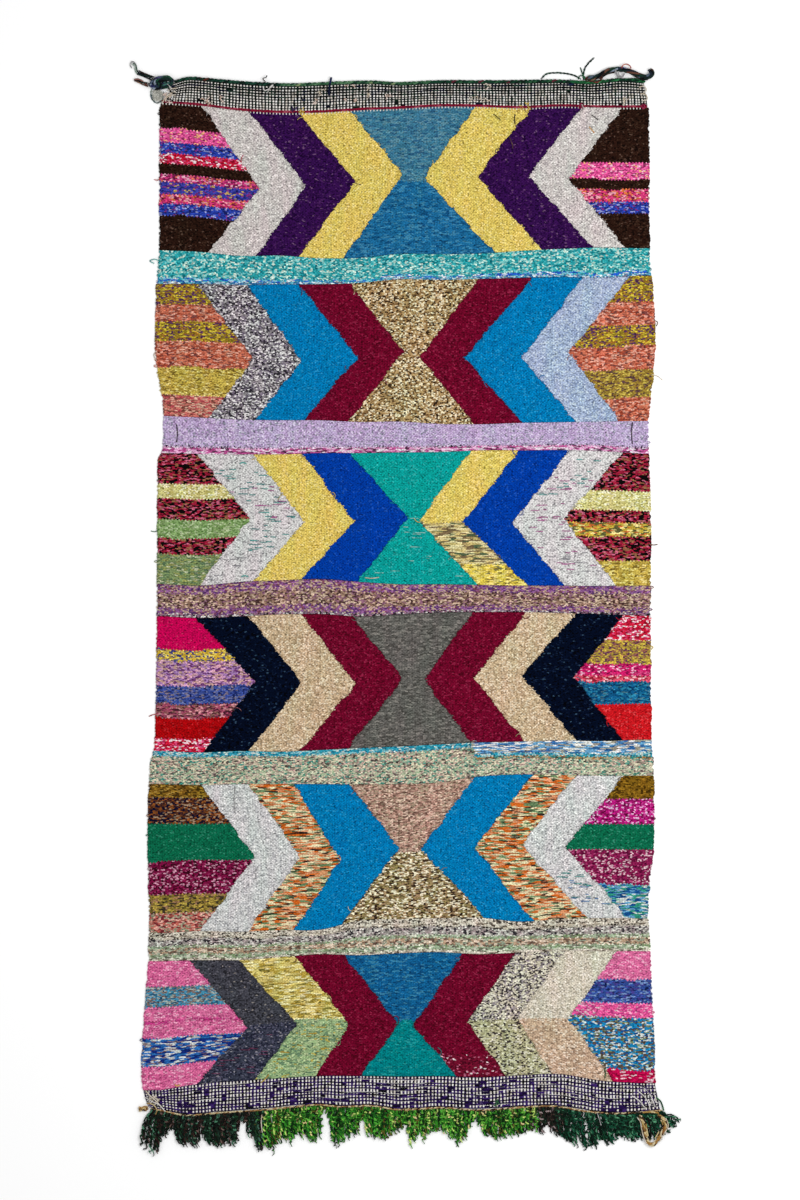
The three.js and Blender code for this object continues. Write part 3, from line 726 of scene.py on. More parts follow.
class Band:
    """Lattice of a woven band: a column to a warp and two rows to a bead. Beads of neighbouring
    warps are half a bead apart. Each side has a rounded selvedge."""

    def __init__(self, number, upper, lower, thickness, pattern):
        self.number = number
        self.upper = upper
        self.lower = lower
        self.thickness = thickness
        self.lines = pattern["lines"]
        self.zones = pattern["zones"]
        places = np.array(BORDER_PLACES, float)
        self.height = float(np.mean(border_y(upper, places) - border_y(lower, places)))
        self.beads = max(2, round(self.height / BEAD_ROW))
        self.rows = 2 * self.beads
        self.lay_out()
        self.snap_lines()
        self.raise_beads()
        self.add_selvedges()

    def y_at(self, x, down):
        """y at a share of the way down the band."""
        top = border_y(self.upper, x)
        return top + (border_y(self.lower, x) - top) * down

    def line_x(self, k, down):
        """x of the line on the right of zone k, at a share of the way down the band."""
        top, tip_x, tip_y, foot = self.lines[k]
        top_y = float(border_y(self.upper, tip_x))
        tip = (top_y - tip_y) / (top_y - float(border_y(self.lower, tip_x)))
        upper = top + (tip_x - top) * np.clip(down / tip, 0, 1)
        lower = tip_x + (foot - tip_x) * np.clip((down - tip) / (1 - tip), 0, 1)
        seed = 100 * self.number + 7 * k
        slow = 3.0 * wander(seed, down * self.height, LINE_STEP)
        return np.where(down < tip, upper, lower) + slow + 3.4 * wander(seed + 1, down * self.height, 10)

    def lay_out(self):
        share, down = np.meshgrid(np.arange(WARPS + 1) / WARPS, np.arange(self.rows + 1) / self.rows)
        x = -760 + 1490 * share
        for _ in range(4):
            y = self.y_at(x, down)
            x = side_x(y, 1) + (side_x(y, 2) - side_x(y, 1)) * share
        bulge = np.sin(np.pi * down)
        for inward, seed in ((share, 140), (1 - share, 160)):
            waves = 2.4 * wander(self.number + seed, y, 34) + 1.3 * wander(self.number + seed + 10, y, 12)
            x = x + np.exp(-inward * WARPS / 5) * waves
        self.x = x + 1.2 * wander(self.number + 40, y, 45) * bulge
        self.y = y + bulge * 2.2 * unevenness(self.number + 60, x, y, 110)

    def snap_lines(self):
        """Moves the nearest column of each row onto each line, so that its edge is smooth."""
        self.slit = np.zeros_like(self.x)
        self.cuts = []
        rows = np.arange(self.rows + 1)
        for k in range(len(self.lines)):
            target = self.line_x(k, rows / self.rows)
            left = self.x[:, 0]
            place = (target - left) / (self.x[:, -1] - left) * WARPS
            nearest = np.zeros(self.rows + 1, int)
            nearest[0] = round(place[0])
            for j in rows[1:]:
                nearest[j] = nearest[j - 1] + int(np.clip(round(place[j]) - nearest[j - 1], -1, 1))
            gap = target - self.x[rows, nearest]
            for d, pull in ((-2, 0.33), (-1, 0.67), (0, 1.0), (1, 0.67), (2, 0.33)):
                self.x[rows, nearest + d] += gap * pull
            self.slit[rows, nearest] = 1.0
            self.cuts.append(nearest)

    def raise_beads(self):
        """Heights: high at the middle of each bead, low where two beads of a warp meet."""
        column, row = np.meshgrid(np.arange(WARPS + 1), np.arange(self.rows + 1))
        share = np.where((column + row) % 2 == 0, 1.0, 0.0)
        share = np.where(self.slit > 0, 0.0, share)
        share[0] *= 0.6
        share[-1] *= 0.6
        uneven = 0.35 * unevenness(self.number + 80, self.x, self.y, 14)
        wave = 0.5 * unevenness(5, self.x, self.y, 140)
        self.z = self.thickness - 1.4 + 1.7 * share + uneven * (self.slit == 0) + wave
        # The first and last rows get slit values too: painted shade along the band's upper and lower
        # borders, with a painted highlight just inside it on light yarns
        self.slit[0] = np.maximum(self.slit[0], 0.8)
        self.slit[-1] = np.maximum(self.slit[-1], 0.8)

    def add_selvedges(self):
        """Adds the columns of the rounded selvedges."""
        row = np.arange(self.rows + 1)
        bulge = 1.6 + np.where(row % 2 == 1, 1.2, 0.0)
        bulge = bulge + 1.8 * wander(self.number + 20, row * BEAD_ROW / 2, 11)
        half = np.full(self.rows + 1, self.thickness * 0.48)
        low = np.full(self.rows + 1, LOW)
        for side, inward in ((0, 1.0), (-1, -1.0)):
            self.z[:, side] = np.minimum(self.z[:, side], self.thickness * 0.82)
            self.x[:, side] += inward
        left = self.x[:, 0]
        right = self.x[:, -1]
        self.x = np.column_stack([left, left - bulge, self.x, right + bulge, right])
        self.y = self.y[:, [0, 0, *range(WARPS + 1), -1, -1]]
        self.z = np.column_stack([low, half, self.z, half, low])
        # The selvedge columns get slit values too: painted shade and, on light yarns, painted highlight
        # along the rug's sides
        self.slit = np.pad(self.slit, ((0, 0), (SIDE_COLUMNS, SIDE_COLUMNS)), constant_values=0.7)


def triangles_of(band):
    """Triangles of a band's upper side as lattice numbers, with the lattice place of each one's
    middle. A quad is cut between its two low corners, or along a line between zones."""
    column, row = np.meshgrid(np.arange(WIDE - 1) - SIDE_COLUMNS, np.arange(band.rows))
    # "down" cuts from the upper left corner to the lower right one.
    down = (column + row) % 2 == 1
    for cut in band.cuts:
        step = cut[1:] - cut[:-1]
        for j in np.nonzero(step)[0]:
            if step[j] > 0:
                down[j, cut[j] + 2] = True
            else:
                down[j, cut[j] + 1] = False
    a = row * WIDE + column + SIDE_COLUMNS
    b = a + 1
    d = a + WIDE
    e = d + 1
    first = np.where(down[..., None], np.stack([a, d, e], -1), np.stack([a, d, b], -1))
    second = np.where(down[..., None], np.stack([a, e, b], -1), np.stack([b, d, e], -1))
    third = 1 / 3
    first_place = np.stack([column + third, row + np.where(down, 2 * third, third)], -1)
    second_place = np.stack([column + 2 * third, row + np.where(down, third, 2 * third)], -1)
    faces = np.concatenate([first.reshape(-1, 3), second.reshape(-1, 3)])
    places = np.concatenate([first_place.reshape(-1, 2), second_place.reshape(-1, 2)])
    return faces, places


def yarns_at(band, column, row, names):
    """Index into names of the yarn that makes the bead at each lattice place."""
    zone = np.zeros(len(column), int)
    below = np.clip(np.floor(row).astype(int), 0, band.rows - 1)
    part = row - below
    for cut in band.cuts:
        zone += column > cut[below] * (1 - part) + cut[below + 1] * part
    warp = np.floor(column + 0.5)
    shift = np.where(warp % 2 == 0, 0.5, 0.0)
    bead = np.floor(row / 2 + shift) + 0.5 - shift
    share = np.clip(bead / band.beads, 0, 1)
    chosen = np.zeros(len(column), int)
    for number, stripes in enumerate(band.zones):
        inside = zone == number
        total = sum(height for _, height in stripes)
        waves = wander(band.number * 31 + number, column[inside] * 5, 60)
        place = share[inside] + waves * 1.5 / band.height
        reached = 0.0
        index = np.full(inside.sum(), names.index(stripes[0][0]))
        for k, (name, height) in enumerate(stripes):
            if k:
                index = np.where(place > reached, names.index(name), index)
            reached += height / total
        chosen[inside] = index
    return chosen


def underside(band):
    """Coarse faces of the underside, and the walls at both borders, with the lattice place of each
    and the points that they add. They share the lattice's outer points."""
    last = band.rows
    end = WARPS + SIDE_COLUMNS
    across = [-SIDE_COLUMNS, *range(COARSE, WARPS - COARSE + 1, COARSE), end]
    down = [*range(0, last - COARSE // 2, COARSE), last]
    points = []
    number = {}

    def low_point(j, c):
        if c in (-SIDE_COLUMNS, end):
            return j * WIDE + c + SIDE_COLUMNS
        if (j, c) not in number:
            number[(j, c)] = (last + 1) * WIDE + len(points)
            points.append((band.x[j, c + SIDE_COLUMNS], band.y[j, c + SIDE_COLUMNS], LOW))
        return number[(j, c)]

    faces = []
    places = []
    for j0, j1 in zip(down[:-1], down[1:]):
        for c0, c1 in zip(across[:-1], across[1:]):
            inner = list(range(max(c0 + 1, 0), min(c1, WARPS + 1)))
            upper = [c0] + (inner if j0 == 0 else []) + [c1]
            lower = [c0] + (inner if j1 == last else []) + [c1]
            face = [low_point(j0, c) for c in upper]
            if c1 == end:
                face += [low_point(j, c1) for j in range(j0 + 1, j1)]
            face += [low_point(j1, c) for c in reversed(lower)]
            if c0 == -SIDE_COLUMNS:
                face += [low_point(j, c0) for j in range(j1 - 1, j0, -1)]
            faces.append(face)
            places.append(((c0 + c1) / 2, (j0 + j1) / 2))
    walls = []
    wall_places = []
    for j in (0, last):
        middle = 0.5 if j == 0 else last - 0.5
        made = []
        for c in range(WARPS):
            top = j * WIDE + c + SIDE_COLUMNS
            low = low_point(j, c)
            made.append([top, top + 1, low_point(j, c + 1), low])
            wall_places.append((c + 0.5, middle))
        for c in (-SIDE_COLUMNS, WARPS):
            first = j * WIDE + c + SIDE_COLUMNS
            made.append([first, first + 1, first + 2, low_point(j, max(c, 0))])
            wall_places.append((c + 1, middle))
        walls += made if j == 0 else [wall[::-1] for wall in made]
    return faces, walls, places + wall_places, points


def bake_map(faces, under, walls, points):
    """Corner coordinates that give the left half, the right half, the walls and the underside a
    strip each."""
    x, y, z = points.T
    share_y = (y - y.min()) / (y.max() - y.min())
    middle = (x.min() + x.max()) / 2
    corner = faces.ravel()
    left = np.repeat((faces % WIDE).max(1) <= WARPS // 2 + SIDE_COLUMNS, 3)
    reach = (x.max() - x.min()) / 2 + 6
    u = np.where(left, (x[corner] - x.min()) / reach, (x[corner] - middle + 6) / reach)
    v = np.where(left, 0.0, 0.465) + 0.44 * share_y[corner]
    upper = np.column_stack([u * 0.998, v])
    full = (x - x.min()) / (x.max() - x.min())
    corner = corners_of(under)
    lower = np.column_stack([full[corner], 0.93 + 0.07 * share_y[corner]])
    corner = corners_of(walls)
    side = np.column_stack([full[corner], 0.91 + 0.012 * z[corner] / 6])
    return np.concatenate([upper, lower, side])


def weave_map(band, faces, under, walls, points):
    """Corner coordinates in warps and rows."""
    count = (band.rows + 1) * WIDE
    column = np.zeros(len(points))
    row = np.zeros(len(points))
    row[:count], grid_column = np.divmod(np.arange(count), WIDE)
    column[:count] = np.clip(grid_column - SIDE_COLUMNS, 0, WARPS)
    x, y, _ = points[count:].T
    left = side_x(y, 1)
    column[count:] = (x - left) / (side_x(y, 2) - left) * WARPS
    top = border_y(band.upper, x)
    row[count:] = (top - y) / (top - border_y(band.lower, x)) * band.rows
    corner = np.concatenate([corners_of(part) for part in (faces, under, walls)])
    return np.column_stack([column[corner] + 0.5, row[corner] / 2 + 80 * band.number])


def weave_band(name, band):
    faces, places = triangles_of(band)
    under, walls, low_places, low_points = underside(band)
    lattice = np.column_stack([part.ravel() for part in (band.x, band.y, band.z)])
    points = np.vstack([lattice, np.array(low_points)])
    slit = np.concatenate([band.slit.ravel(), np.zeros(len(low_points))])
    names = sorted({stripe[0] for stripes in band.zones for stripe in stripes})
    every = np.concatenate([places, np.array(low_places)])
    column = np.clip(every[:, 0], 0.01, WARPS - 0.01)
    marks = yarns_at(band, column, every[:, 1], names)
    maps = (
        ("weave", weave_map(band, faces, under, walls, points)),
        ("OFBake", bake_map(faces, under, walls, points)),
    )
    materials = [yarn(n) for n in names]
    made = make_mesh(name, points, [faces, under, walls], marks, materials, maps, (("slit", slit),))
    return declare(made, "rug_cloth", "cloth")


# Yarns as tubes

def steps_along(line):
    """Length of a line up to each of its points."""
    return np.concatenate([[0], np.cumsum(np.linalg.norm(np.diff(line, axis=0), axis=1))])


def frame_along(line):
    """Directions across a line at each of its points: to the side and up."""
    ahead = np.gradient(line, axis=0)
    ahead /= np.linalg.norm(ahead, axis=1)[:, None] + 1e-9
    side = np.cross(ahead, (0.0, 0.0, 1.0))
    side[np.linalg.norm(side, axis=1) < 0.2] = (1.0, 0.0, 0.0)
    side -= ahead * (side * ahead).sum(1)[:, None]
    side /= np.linalg.norm(side, axis=1)[:, None]
    return side, np.cross(side, ahead)


class Strands:
    """Tubes collected into one mesh."""

    def __init__(self, name):
        self.name = name
        self.points = []
        self.quads = []
        self.caps = []
        self.marks = []
        self.cap_marks = []
        self.places = []
        self.cap_places = []
        self.materials = []
        self.count = 0

    def add(self, line, radius, material, sides=6, flat=1.0):
        """A closed tube along a line of points. radius may be one number or one a point, and flat
        presses the tube down."""
        line = np.asarray(line, float)
        count = len(line)
        radius = np.broadcast_to(np.asarray(radius, float), (count,))
        side, up = frame_along(line)
        angle = np.arange(sides) / sides * 2 * np.pi
        across = np.cos(angle)[None, :, None] * side[:, None]
        ring = across + np.sin(angle)[None, :, None] * up[:, None] * flat
        self.points.append((line[:, None] + ring * radius[:, None, None]).reshape(-1, 3))
        start = self.count
        self.count += count * sides
        if material not in self.materials:
            self.materials.append(material)
        mark = self.materials.index(material)
        number = len(self.quads)
        i, k = np.meshgrid(np.arange(count - 1), np.arange(sides), indexing="ij")
        a = start + i * sides + k
        b = start + i * sides + (k + 1) % sides
        quads = np.stack([a, b, b + sides, a + sides], -1).reshape(-1, 4)
        self.quads.append(quads)
        self.marks.append(np.full(len(quads), mark))
        along = steps_along(line) / (2 * radius.mean())
        u0 = along[:-1, None] + 0 * k
        u1 = along[1:, None] + 0 * k
        v0 = k / sides * 0.98 + number + 0.01
        v1 = (k + 1) / sides * 0.98 + number + 0.01
        self.places.append(np.stack([u0, v0, u0, v1, u1, v1, u1, v0], -1).reshape(-1, 2))
        first = np.arange(start, start + sides)
        for face, u in ((first[::-1], along[0]), (first + (count - 1) * sides, along[-1])):
            self.caps.append(face)
            self.cap_marks.append(mark)
            self.cap_places.append(np.tile([u, number + 0.5], (sides, 1)))

    def make(self, replaced, slot):
        """One piece of all the tubes, which stands for this CAD node."""
        marks = np.concatenate([*self.marks, np.array(self.cap_marks)])
        places = np.concatenate(self.places + self.cap_places)
        faces = [np.concatenate(self.quads), self.caps]
        points = np.concatenate(self.points)
        made = make_mesh(self.name, points, faces, marks, self.materials, (("weave", places),))
        return declare(made, replaced, slot)


def route(points, step=2.5):
    """Centripetal smooth curve through points, cut into steps of about this length."""
    p = [np.asarray(q, float) for q in points]
    p = [2 * p[0] - p[1]] + p + [2 * p[-1] - p[-2]]
    out = []
    for k in range(1, len(p) - 2):
        gaps = [max(np.linalg.norm(p[k + m] - p[k + m - 1]), 1e-6) ** 0.5 for m in (0, 1, 2)]
        t0, t1 = 0.0, gaps[0]
        t2 = t1 + gaps[1]
        t3 = t2 + gaps[2]
        pieces = max(2, int(round(np.linalg.norm(p[k + 1] - p[k]) / step)))
        for t in np.linspace(t1, t2, pieces, endpoint=False):
            a1 = (t1 - t) / (t1 - t0) * p[k - 1] + (t - t0) / (t1 - t0) * p[k]
            a2 = (t2 - t) / (t2 - t1) * p[k] + (t - t1) / (t2 - t1) * p[k + 1]
            a3 = (t3 - t) / (t3 - t2) * p[k + 1] + (t - t2) / (t3 - t2) * p[k + 2]
            b1 = (t2 - t) / (t2 - t0) * a1 + (t - t0) / (t2 - t0) * a2
            b2 = (t3 - t) / (t3 - t1) * a2 + (t - t1) / (t3 - t1) * a3
            out.append((t2 - t) / (t2 - t1) * b1 + (t - t1) / (t2 - t1) * b2)
    out.append(p[-2])
    return np.array(out)


def twisted(centre, offset, pitch, number, count, flat=1.0):
    """Line of one of the plies that are twisted round a centre line. flat presses the turn down."""
    side, up = frame_along(centre)
    along = steps_along(centre)
    uneven = 1 + 0.16 * wander(number + 90, along, 14)
    angle = along / pitch * 2 * np.pi + 2 * np.pi * number / count + 0.5 * wander(number + 95, along, 22)
    turn = np.cos(angle)[:, None] * side + flat * np.sin(angle)[:, None] * up
    return centre + offset * uneven[:, None] * turn


# Corner ties: free yarns with the routes of the CAD model, in millimetres

INK_MIX = mix("#0c0f14 60 #1c2430 25 #182c28 15")
MINT_MIX = mix("#8fa898 50 #c2cfc4 30 #4f6f5c 20")
ROSE_BROWN_MIX = mix("#6a3c34 40 #8f6258 30 #3a201c 30")
DARK_MIX = mix("#16202c 34 #1f3a34 22 #2c2f5c 20 #3f6a64 12 #0e1218 12")
GREY_MIX = mix("#8f9a98 40 #5f6f78 30 #aab4a4 30")
GREEN_MIX = mix("#173a2c 44 #24503c 26 #0f2420 30")
TAN_MIX = mix("#b08448 34 #dcc490 28 #8a5c2c 22 #4a2c18 16")
CREAM_MIX = mix("#dccba4 44 #c2a468 30 #a07c48 14 #2c2018 12")
BROWN_MIX = mix("#4a2c22 36 #6a4638 20 #2c1c18 24 #3a4a3c 20")
SLATE_MIX = mix("#566478 30 #28344a 32 #8c98a8 16 #1c2c28 22")
RUST_MIX = mix("#6a3024 46 #8f4c3c 24 #2c1814 30")
LILAC_MIX = mix("#a4a8cc 60 #c8cadc 40")
PINK_MIX = mix("#c08c84 60 #8f5c50 40")
PALE_MIX = mix("#b9b8ae 50 #a4a49c 30 #cdccc2 20")

TIES = {
    # Diameter, CAD slot, colours of the plies, length of a turn, how far the plies spread and how
    # thick they are, and the route. Some are flat, grow slim or have extra threads and fluff.
    "head_left_tail_long": {
        "diameter": 6.0, "slot": "dark_tie", "plies": (INK_MIX, INK_MIX), "pitch": 900,
        "spread": 3.0, "thick": 2.6, "flat": 0.2, "slim_from": 0.58, "end_plies": (GREEN_MIX, MINT_MIX),
        "route": (
            (-769, 1613, 4), (-783, 1619, 3.2), (-800, 1626, 3.2), (-816, 1633, 3.2),
            (-820, 1645, 3.2), (-822, 1655, 3.2), (-832, 1661, 3.2),
        ),
    },
    "head_left_tail_short": {
        "diameter": 6.0, "slot": "dark_tie", "plies": (INK_MIX, ROSE_BROWN_MIX), "pitch": 60,
        "spread": 2.8, "thick": 2.6, "flat": 0.3,
        "route": ((-780.6, 1596.6, 3.4), (-796, 1603, 3.2), (-810, 1610, 3.2), (-825, 1614, 3.2)),
    },
    "head_left_loop": {
        "diameter": 4.0, "slot": "grey_tie", "plies": (GREY_MIX, GREEN_MIX), "pitch": 22,
        "spread": 1.0, "thick": 1.3,
        "route": (
            (-770, 1586, 2.1), (-774, 1572, 2.1), (-772, 1556, 2.1), (-763, 1545, 2.1),
            (-753, 1542, 2.1), (-743, 1548, 2.1), (-738, 1560, 2.1), (-736, 1576, 2.1),
        ),
    },
    "head_right_arc": {
        "diameter": 4.5, "slot": "green_tie", "plies": (GREEN_MIX, GREEN_MIX), "pitch": 22,
        "spread": 1.2, "thick": 1.6,
        "route": (
            (396, 1613.9, 2.3), (411, 1628, 2.3), (438, 1632, 2.3), (471, 1630, 2.3),
            (501, 1622, 2.3), (516, 1612.4, 2.3),
        ),
    },
    "head_right_end": {
        "diameter": 4.5, "slot": "green_tie", "plies": (GREEN_MIX, INK_MIX), "pitch": 22,
        "spread": 1.3, "thick": 1.6,
        "route": (
            (523, 1609.2, 2.3), (524, 1632, 2.3), (530, 1650, 2.3), (541, 1664, 2.3),
            (556, 1678, 2.3),
        ),
    },
    "head_right_bundle": {
        "diameter": 14.0, "slot": "brown_tie",
        "plies": (INK_MIX, SLATE_MIX, GREEN_MIX, BROWN_MIX, INK_MIX), "pitch": 88,
        "spread": 4.7, "thick": 3.4, "flat": 0.85, "fluff": 26, "fluff_mix": RUST_MIX,
        "extra": ((6.5, 0.40, 0.62, 1.5, LILAC_MIX), (7.5, 0.52, 0.74, 1.2, PINK_MIX)),
        "route": (
            (536, 1616, 7.1), (556, 1618, 7.1), (576, 1627, 7.1), (594, 1636, 7.1),
            (615, 1642, 7.1), (645, 1641, 7.1), (673, 1631, 7.1), (695, 1622, 7.1),
            (716, 1620, 7.1), (728, 1629, 7.1), (721, 1643, 7.1),
        ),
    },
    "foot_right_loop": {
        "diameter": 7.0, "slot": "tan_tie", "plies": (TAN_MIX, CREAM_MIX, TAN_MIX), "pitch": 36,
        "spread": 2.9, "thick": 2.7, "fluff": 70, "fluff_mix": TAN_MIX, "fluff_at": 0.44,
        "route": (
            (690, -1493, 11.9), (700, -1508, 11.9), (704, -1530, 11.9), (709, -1552, 11.9),
            (718, -1575, 11.9), (730, -1580, 11.9), (744, -1568, 11.9), (758, -1545, 11.9),
            (770, -1522, 11.9), (762, -1504, 11.9), (745, -1492, 11.9),
        ),
    },
}
FAR_ENDS = {
    "head_left_loop": "object",
    "head_right_arc": "object",
    "foot_right_loop": "object",
}


def make_tie(name, facts):
    centre = route(facts["route"], 1.6)
    plies = facts["plies"]
    strands = Strands(name)
    for k, colours in enumerate(plies):
        material = strand(f"{name}_{k}", colours, twist=3.0)
        ply = twisted(centre, facts["spread"], facts["pitch"], k, len(plies), facts.get("flat", 1.0))
        steps = np.arange(len(ply))
        radius = facts["thick"] * (1 + 0.14 * wander(k + 60, steps, 5))
        radius = radius * np.clip(np.minimum(steps, steps[::-1]) / 4, 0.5, 1)
        ply[:, 2] = np.maximum(ply[:, 2], radius * 1.1 + 0.1)
        split = int(len(ply) * facts.get("slim_from", 1.0))
        strands.add(ply[:split], radius[:split], material, sides=7)
        if split < len(ply):
            pale = strand(f"{name}_end_{k}", facts["end_plies"][k % 2], twist=3.0)
            strands.add(ply[split - 1:], (radius * 0.66)[split - 1:], pale, sides=7)
    for side_way, start, end, thick, colours in facts.get("extra", ()):
        part = centre[int(start * len(centre)):int(end * len(centre))].copy()
        arch = np.sin(np.linspace(0, np.pi, len(part)))
        part[:, 1] += side_way * arch
        part[:, 2] += 3.0 * arch
        strands.add(part, thick, strand(f"{name}_{side_way}", colours, twist=3.0), sides=6)
    rng = np.random.default_rng(77)
    for _ in range(facts.get("fluff", 0)):
        first = int(facts.get("fluff_at", 0.0) * len(centre))
        place = centre[first + int(rng.integers(0, 14))]
        angle = rng.uniform(0, 2 * np.pi)
        reach = np.linspace(0.5, rng.uniform(0.5, 0.78) * facts["diameter"], 5)
        x = place[0] + reach * np.cos(angle + 0.08 * reach)
        y = place[1] + reach * np.sin(angle + 0.08 * reach)
        line = np.column_stack([x, y, place[2] + rng.uniform(-3, 3) + 0 * x])
        strands.add(line, 1.2, strand(f"{name}_fluff", facts["fluff_mix"], twist=3.0), sides=5)
    made = strands.make(name, facts["slot"])
    [v * MM for v in facts["route"][0]]
    facts["diameter"] * MM
    FAR_ENDS.get(name, "bare")
    return made


make_camera()
for tie_name, tie_facts in TIES.items():
    make_tie(tie_name, tie_facts)


# The woven field

bands = {}
for band_number in range(1, len(BAND_BORDERS)):
    is_panel = band_number % 2 == 1
    band_name = f"{'panel' if is_panel else 'crossband'}_{(band_number + 1) // 2}"
    bands[band_name] = Band(
        band_number, BAND_BORDERS[band_number - 1], BAND_BORDERS[band_number],
        FIELD if is_panel else CROSSBAND, PATTERNS[band_name],
    )
woven = [weave_band(band_name, band) for band_name, band in bands.items()]


# The open check at both ends: every warp shows as a bar between thin wefts

WARP_MIX = mix("#fbf6ef 66 #e6ddd2 20 #fffdfa 14")
HEAD_WEFT_MIX = mix("#0a0f0e 50 #10261c 22 #101226 16 #22382e 12")
FOOT_WEFT_MIX = mix("#28124e 40 #160a2e 28 #402670 16 #0c0a10 16")
BURGUNDY_MIX = mix("#8e1234 60 #70102c 28 #b04a60 12")

ENDS = {
    "head_band": {
        "upper": "head_edge", "lower": "burgundy_top", "start": -743, "end": 717,
        "warp": 6.3, "thin": (4.8, 6.0, 5.8, 5.6, 5.0, 4.4, 3.8, 3.4, 3.0, 2.6),
        "wefts": HEAD_WEFT_MIX, "floats": 9, "sway": 0.13, "seed": 11,
    },
    "foot_band": {
        "upper": "foot_band_top", "lower": "foot_edge", "start": -797, "end": 743,
        "warp": 5.9, "thin": (2.8, 4.2, 4.6, 4.6, 4.4, 4.6, 4.8, 5.0, 5.6, 4.0),
        "wefts": FOOT_WEFT_MIX, "floats": 85, "sway": 0.26, "seed": 12,
    },
}
END_WARPS = 150  # twice as far apart as in the fields, because they show in pairs
END_ROWS = 9  # cells down each open band
END_MIDDLE = 2.0  # height of the middle of the open weave
PULLED_IN = 4  # how many of the outer warps lean with the side


def end_place(facts, column, down):
    """x and y at a warp column and a share down the band. A warp runs straight along the rug, and
    the outer ones close up where the side is cut in."""
    column = np.asarray(column, float)
    down = np.asarray(down, float)
    start = facts["start"]
    end = facts["end"]
    straight = start + (end - start) * column / END_WARPS
    x = straight
    for _ in range(4):
        top = border_y(facts["upper"], x)
        foot = border_y(facts["lower"], x)
        y = top + (foot - top) * down
        x = straight + (side_x(y, 1) + 2 - start) * np.exp(-column / PULLED_IN)
        x = x + (side_x(y, 2) - 2 - end) * np.exp((column - END_WARPS) / PULLED_IN)
    return x, y


def dark_cells(facts):
    """Cells where the weft floats over a few warps and hides them."""
    rng = np.random.default_rng(facts["seed"])
    cells = set()
    for _ in range(facts["floats"]):
        warp = int(rng.integers(2, END_WARPS - 6))
        row = int(rng.integers(1, END_ROWS))
        for k in range(int(rng.integers(1, 3))):
            cells.add((warp + k, row))
        if rng.random() < 0.25:
            cells.add((warp, min(row + 1, END_ROWS - 1)))
    return cells


def weave_end(name, facts):
    strands = Strands(name)
    hidden = dark_cells(facts)
    warp_material = strand("warp", WARP_MIX, twist=4.0, stray=0.08)
    weft_material = strand("weft_" + name, facts["wefts"], twist=4.0, stray=0.2)
    # Warps: high over each cell, low under each thin weft
    down = np.arange(4 * END_ROWS + 1) / (4 * END_ROWS)
    phase = np.arange(4 * END_ROWS + 1) % 4
    for warp in range(END_WARPS):
        column = warp + 0.5 + 0.12 * wander(warp, down * 80, 18)
        x, y = end_place(facts, column, down)
        high = np.select([phase == 2, phase == 0], [1.0, -1.0], 0.35)
        for row in range(END_ROWS):
            if (warp, row) in hidden:
                high[4 * row + 1:4 * row + 4] = -0.8
        z = END_MIDDLE + 0.25 + high * 0.55
        radius = facts["warp"] / 2 * (1 + 0.14 * wander(warp + 200, down * 80, 9))
        strands.add(np.column_stack([x, y, z]), radius, warp_material, sides=5, flat=0.5)
    # Thin wefts over every warp, between the cells
    column = np.arange(0, 2 * END_WARPS + 1) / 2
    over = np.where(np.arange(2 * END_WARPS + 1) % 2 == 1, 1.5, 0.6)
    for row in range(END_ROWS + 1):
        sway = wander(row + 300, column, 9) + 0.5 * wander(row + 350, column, 3)
        share = np.clip((row + facts["sway"] * sway) / END_ROWS, 0.004, 0.996)
        x, y = end_place(facts, column, share)
        thin = facts["thin"][row] * (1 + 0.18 * wander(row + 400, column, 5))
        line = np.column_stack([x, y, END_MIDDLE - 0.1 + over])
        strands.add(line, thin / 2, weft_material, sides=5, flat=0.55)
    # Thick wefts behind the warps, which fill the gaps between them
    for row in range(END_ROWS):
        x, y = end_place(facts, column, (row + 0.5) / END_ROWS)
        behind = np.full(2 * END_WARPS + 1, -0.75)
        behind[::2] = 0.1
        for warp in range(END_WARPS):
            if (warp, row) in hidden:
                behind[2 * warp + 1] = 0.9
        thick = 4.0 * (1 + 0.06 * wander(row + 500, column, 5))
        line = np.column_stack([x, y, END_MIDDLE + behind])
        strands.add(line, thick, weft_material, sides=5, flat=0.28)
    return strands.make("rug_cloth", "cloth")


end_pieces = [weave_end(end_name, end_facts) for end_name, end_facts in ENDS.items()]


def burgundy_line():
    """A weft-faced line between the head band and the first panel, with the warps beside it."""
    strands = Strands("burgundy_line")
    material = strand("burgundy_line", BURGUNDY_MIX, twist=4.0)
    pale = strand("warp", WARP_MIX)
    x = np.arange(-742, 716, 4.0)
    for k, offset in enumerate((-0.4, 3.0)):
        y = border_y("burgundy_line", x) + offset + 0.6 * wander(k + 700, x, 20)
        z = 3.2 + 0.7 * np.sin(x / 10 * np.pi + k * np.pi)
        strands.add(np.column_stack([x, y, z]), 2.4, material, sides=6)
    rng = np.random.default_rng(33)
    start = ENDS["head_band"]["start"]
    spacing = (ENDS["head_band"]["end"] - start) / END_WARPS
    for k in range(END_WARPS - 1):
        place = start + spacing * (k + 0.5)
        y = float(border_y("burgundy_line", place)) - 4.6
        length = rng.uniform(3.0, 4.6)
        points = [(place, y + length / 2, 3.6), (place + 0.3, y, 5.4), (place, y - length / 2, 3.6)]
        strands.add(points, 2.0, pale, sides=5)
    return strands.make("rug_cloth", "cloth")


end_pieces.append(burgundy_line())


# Bindings

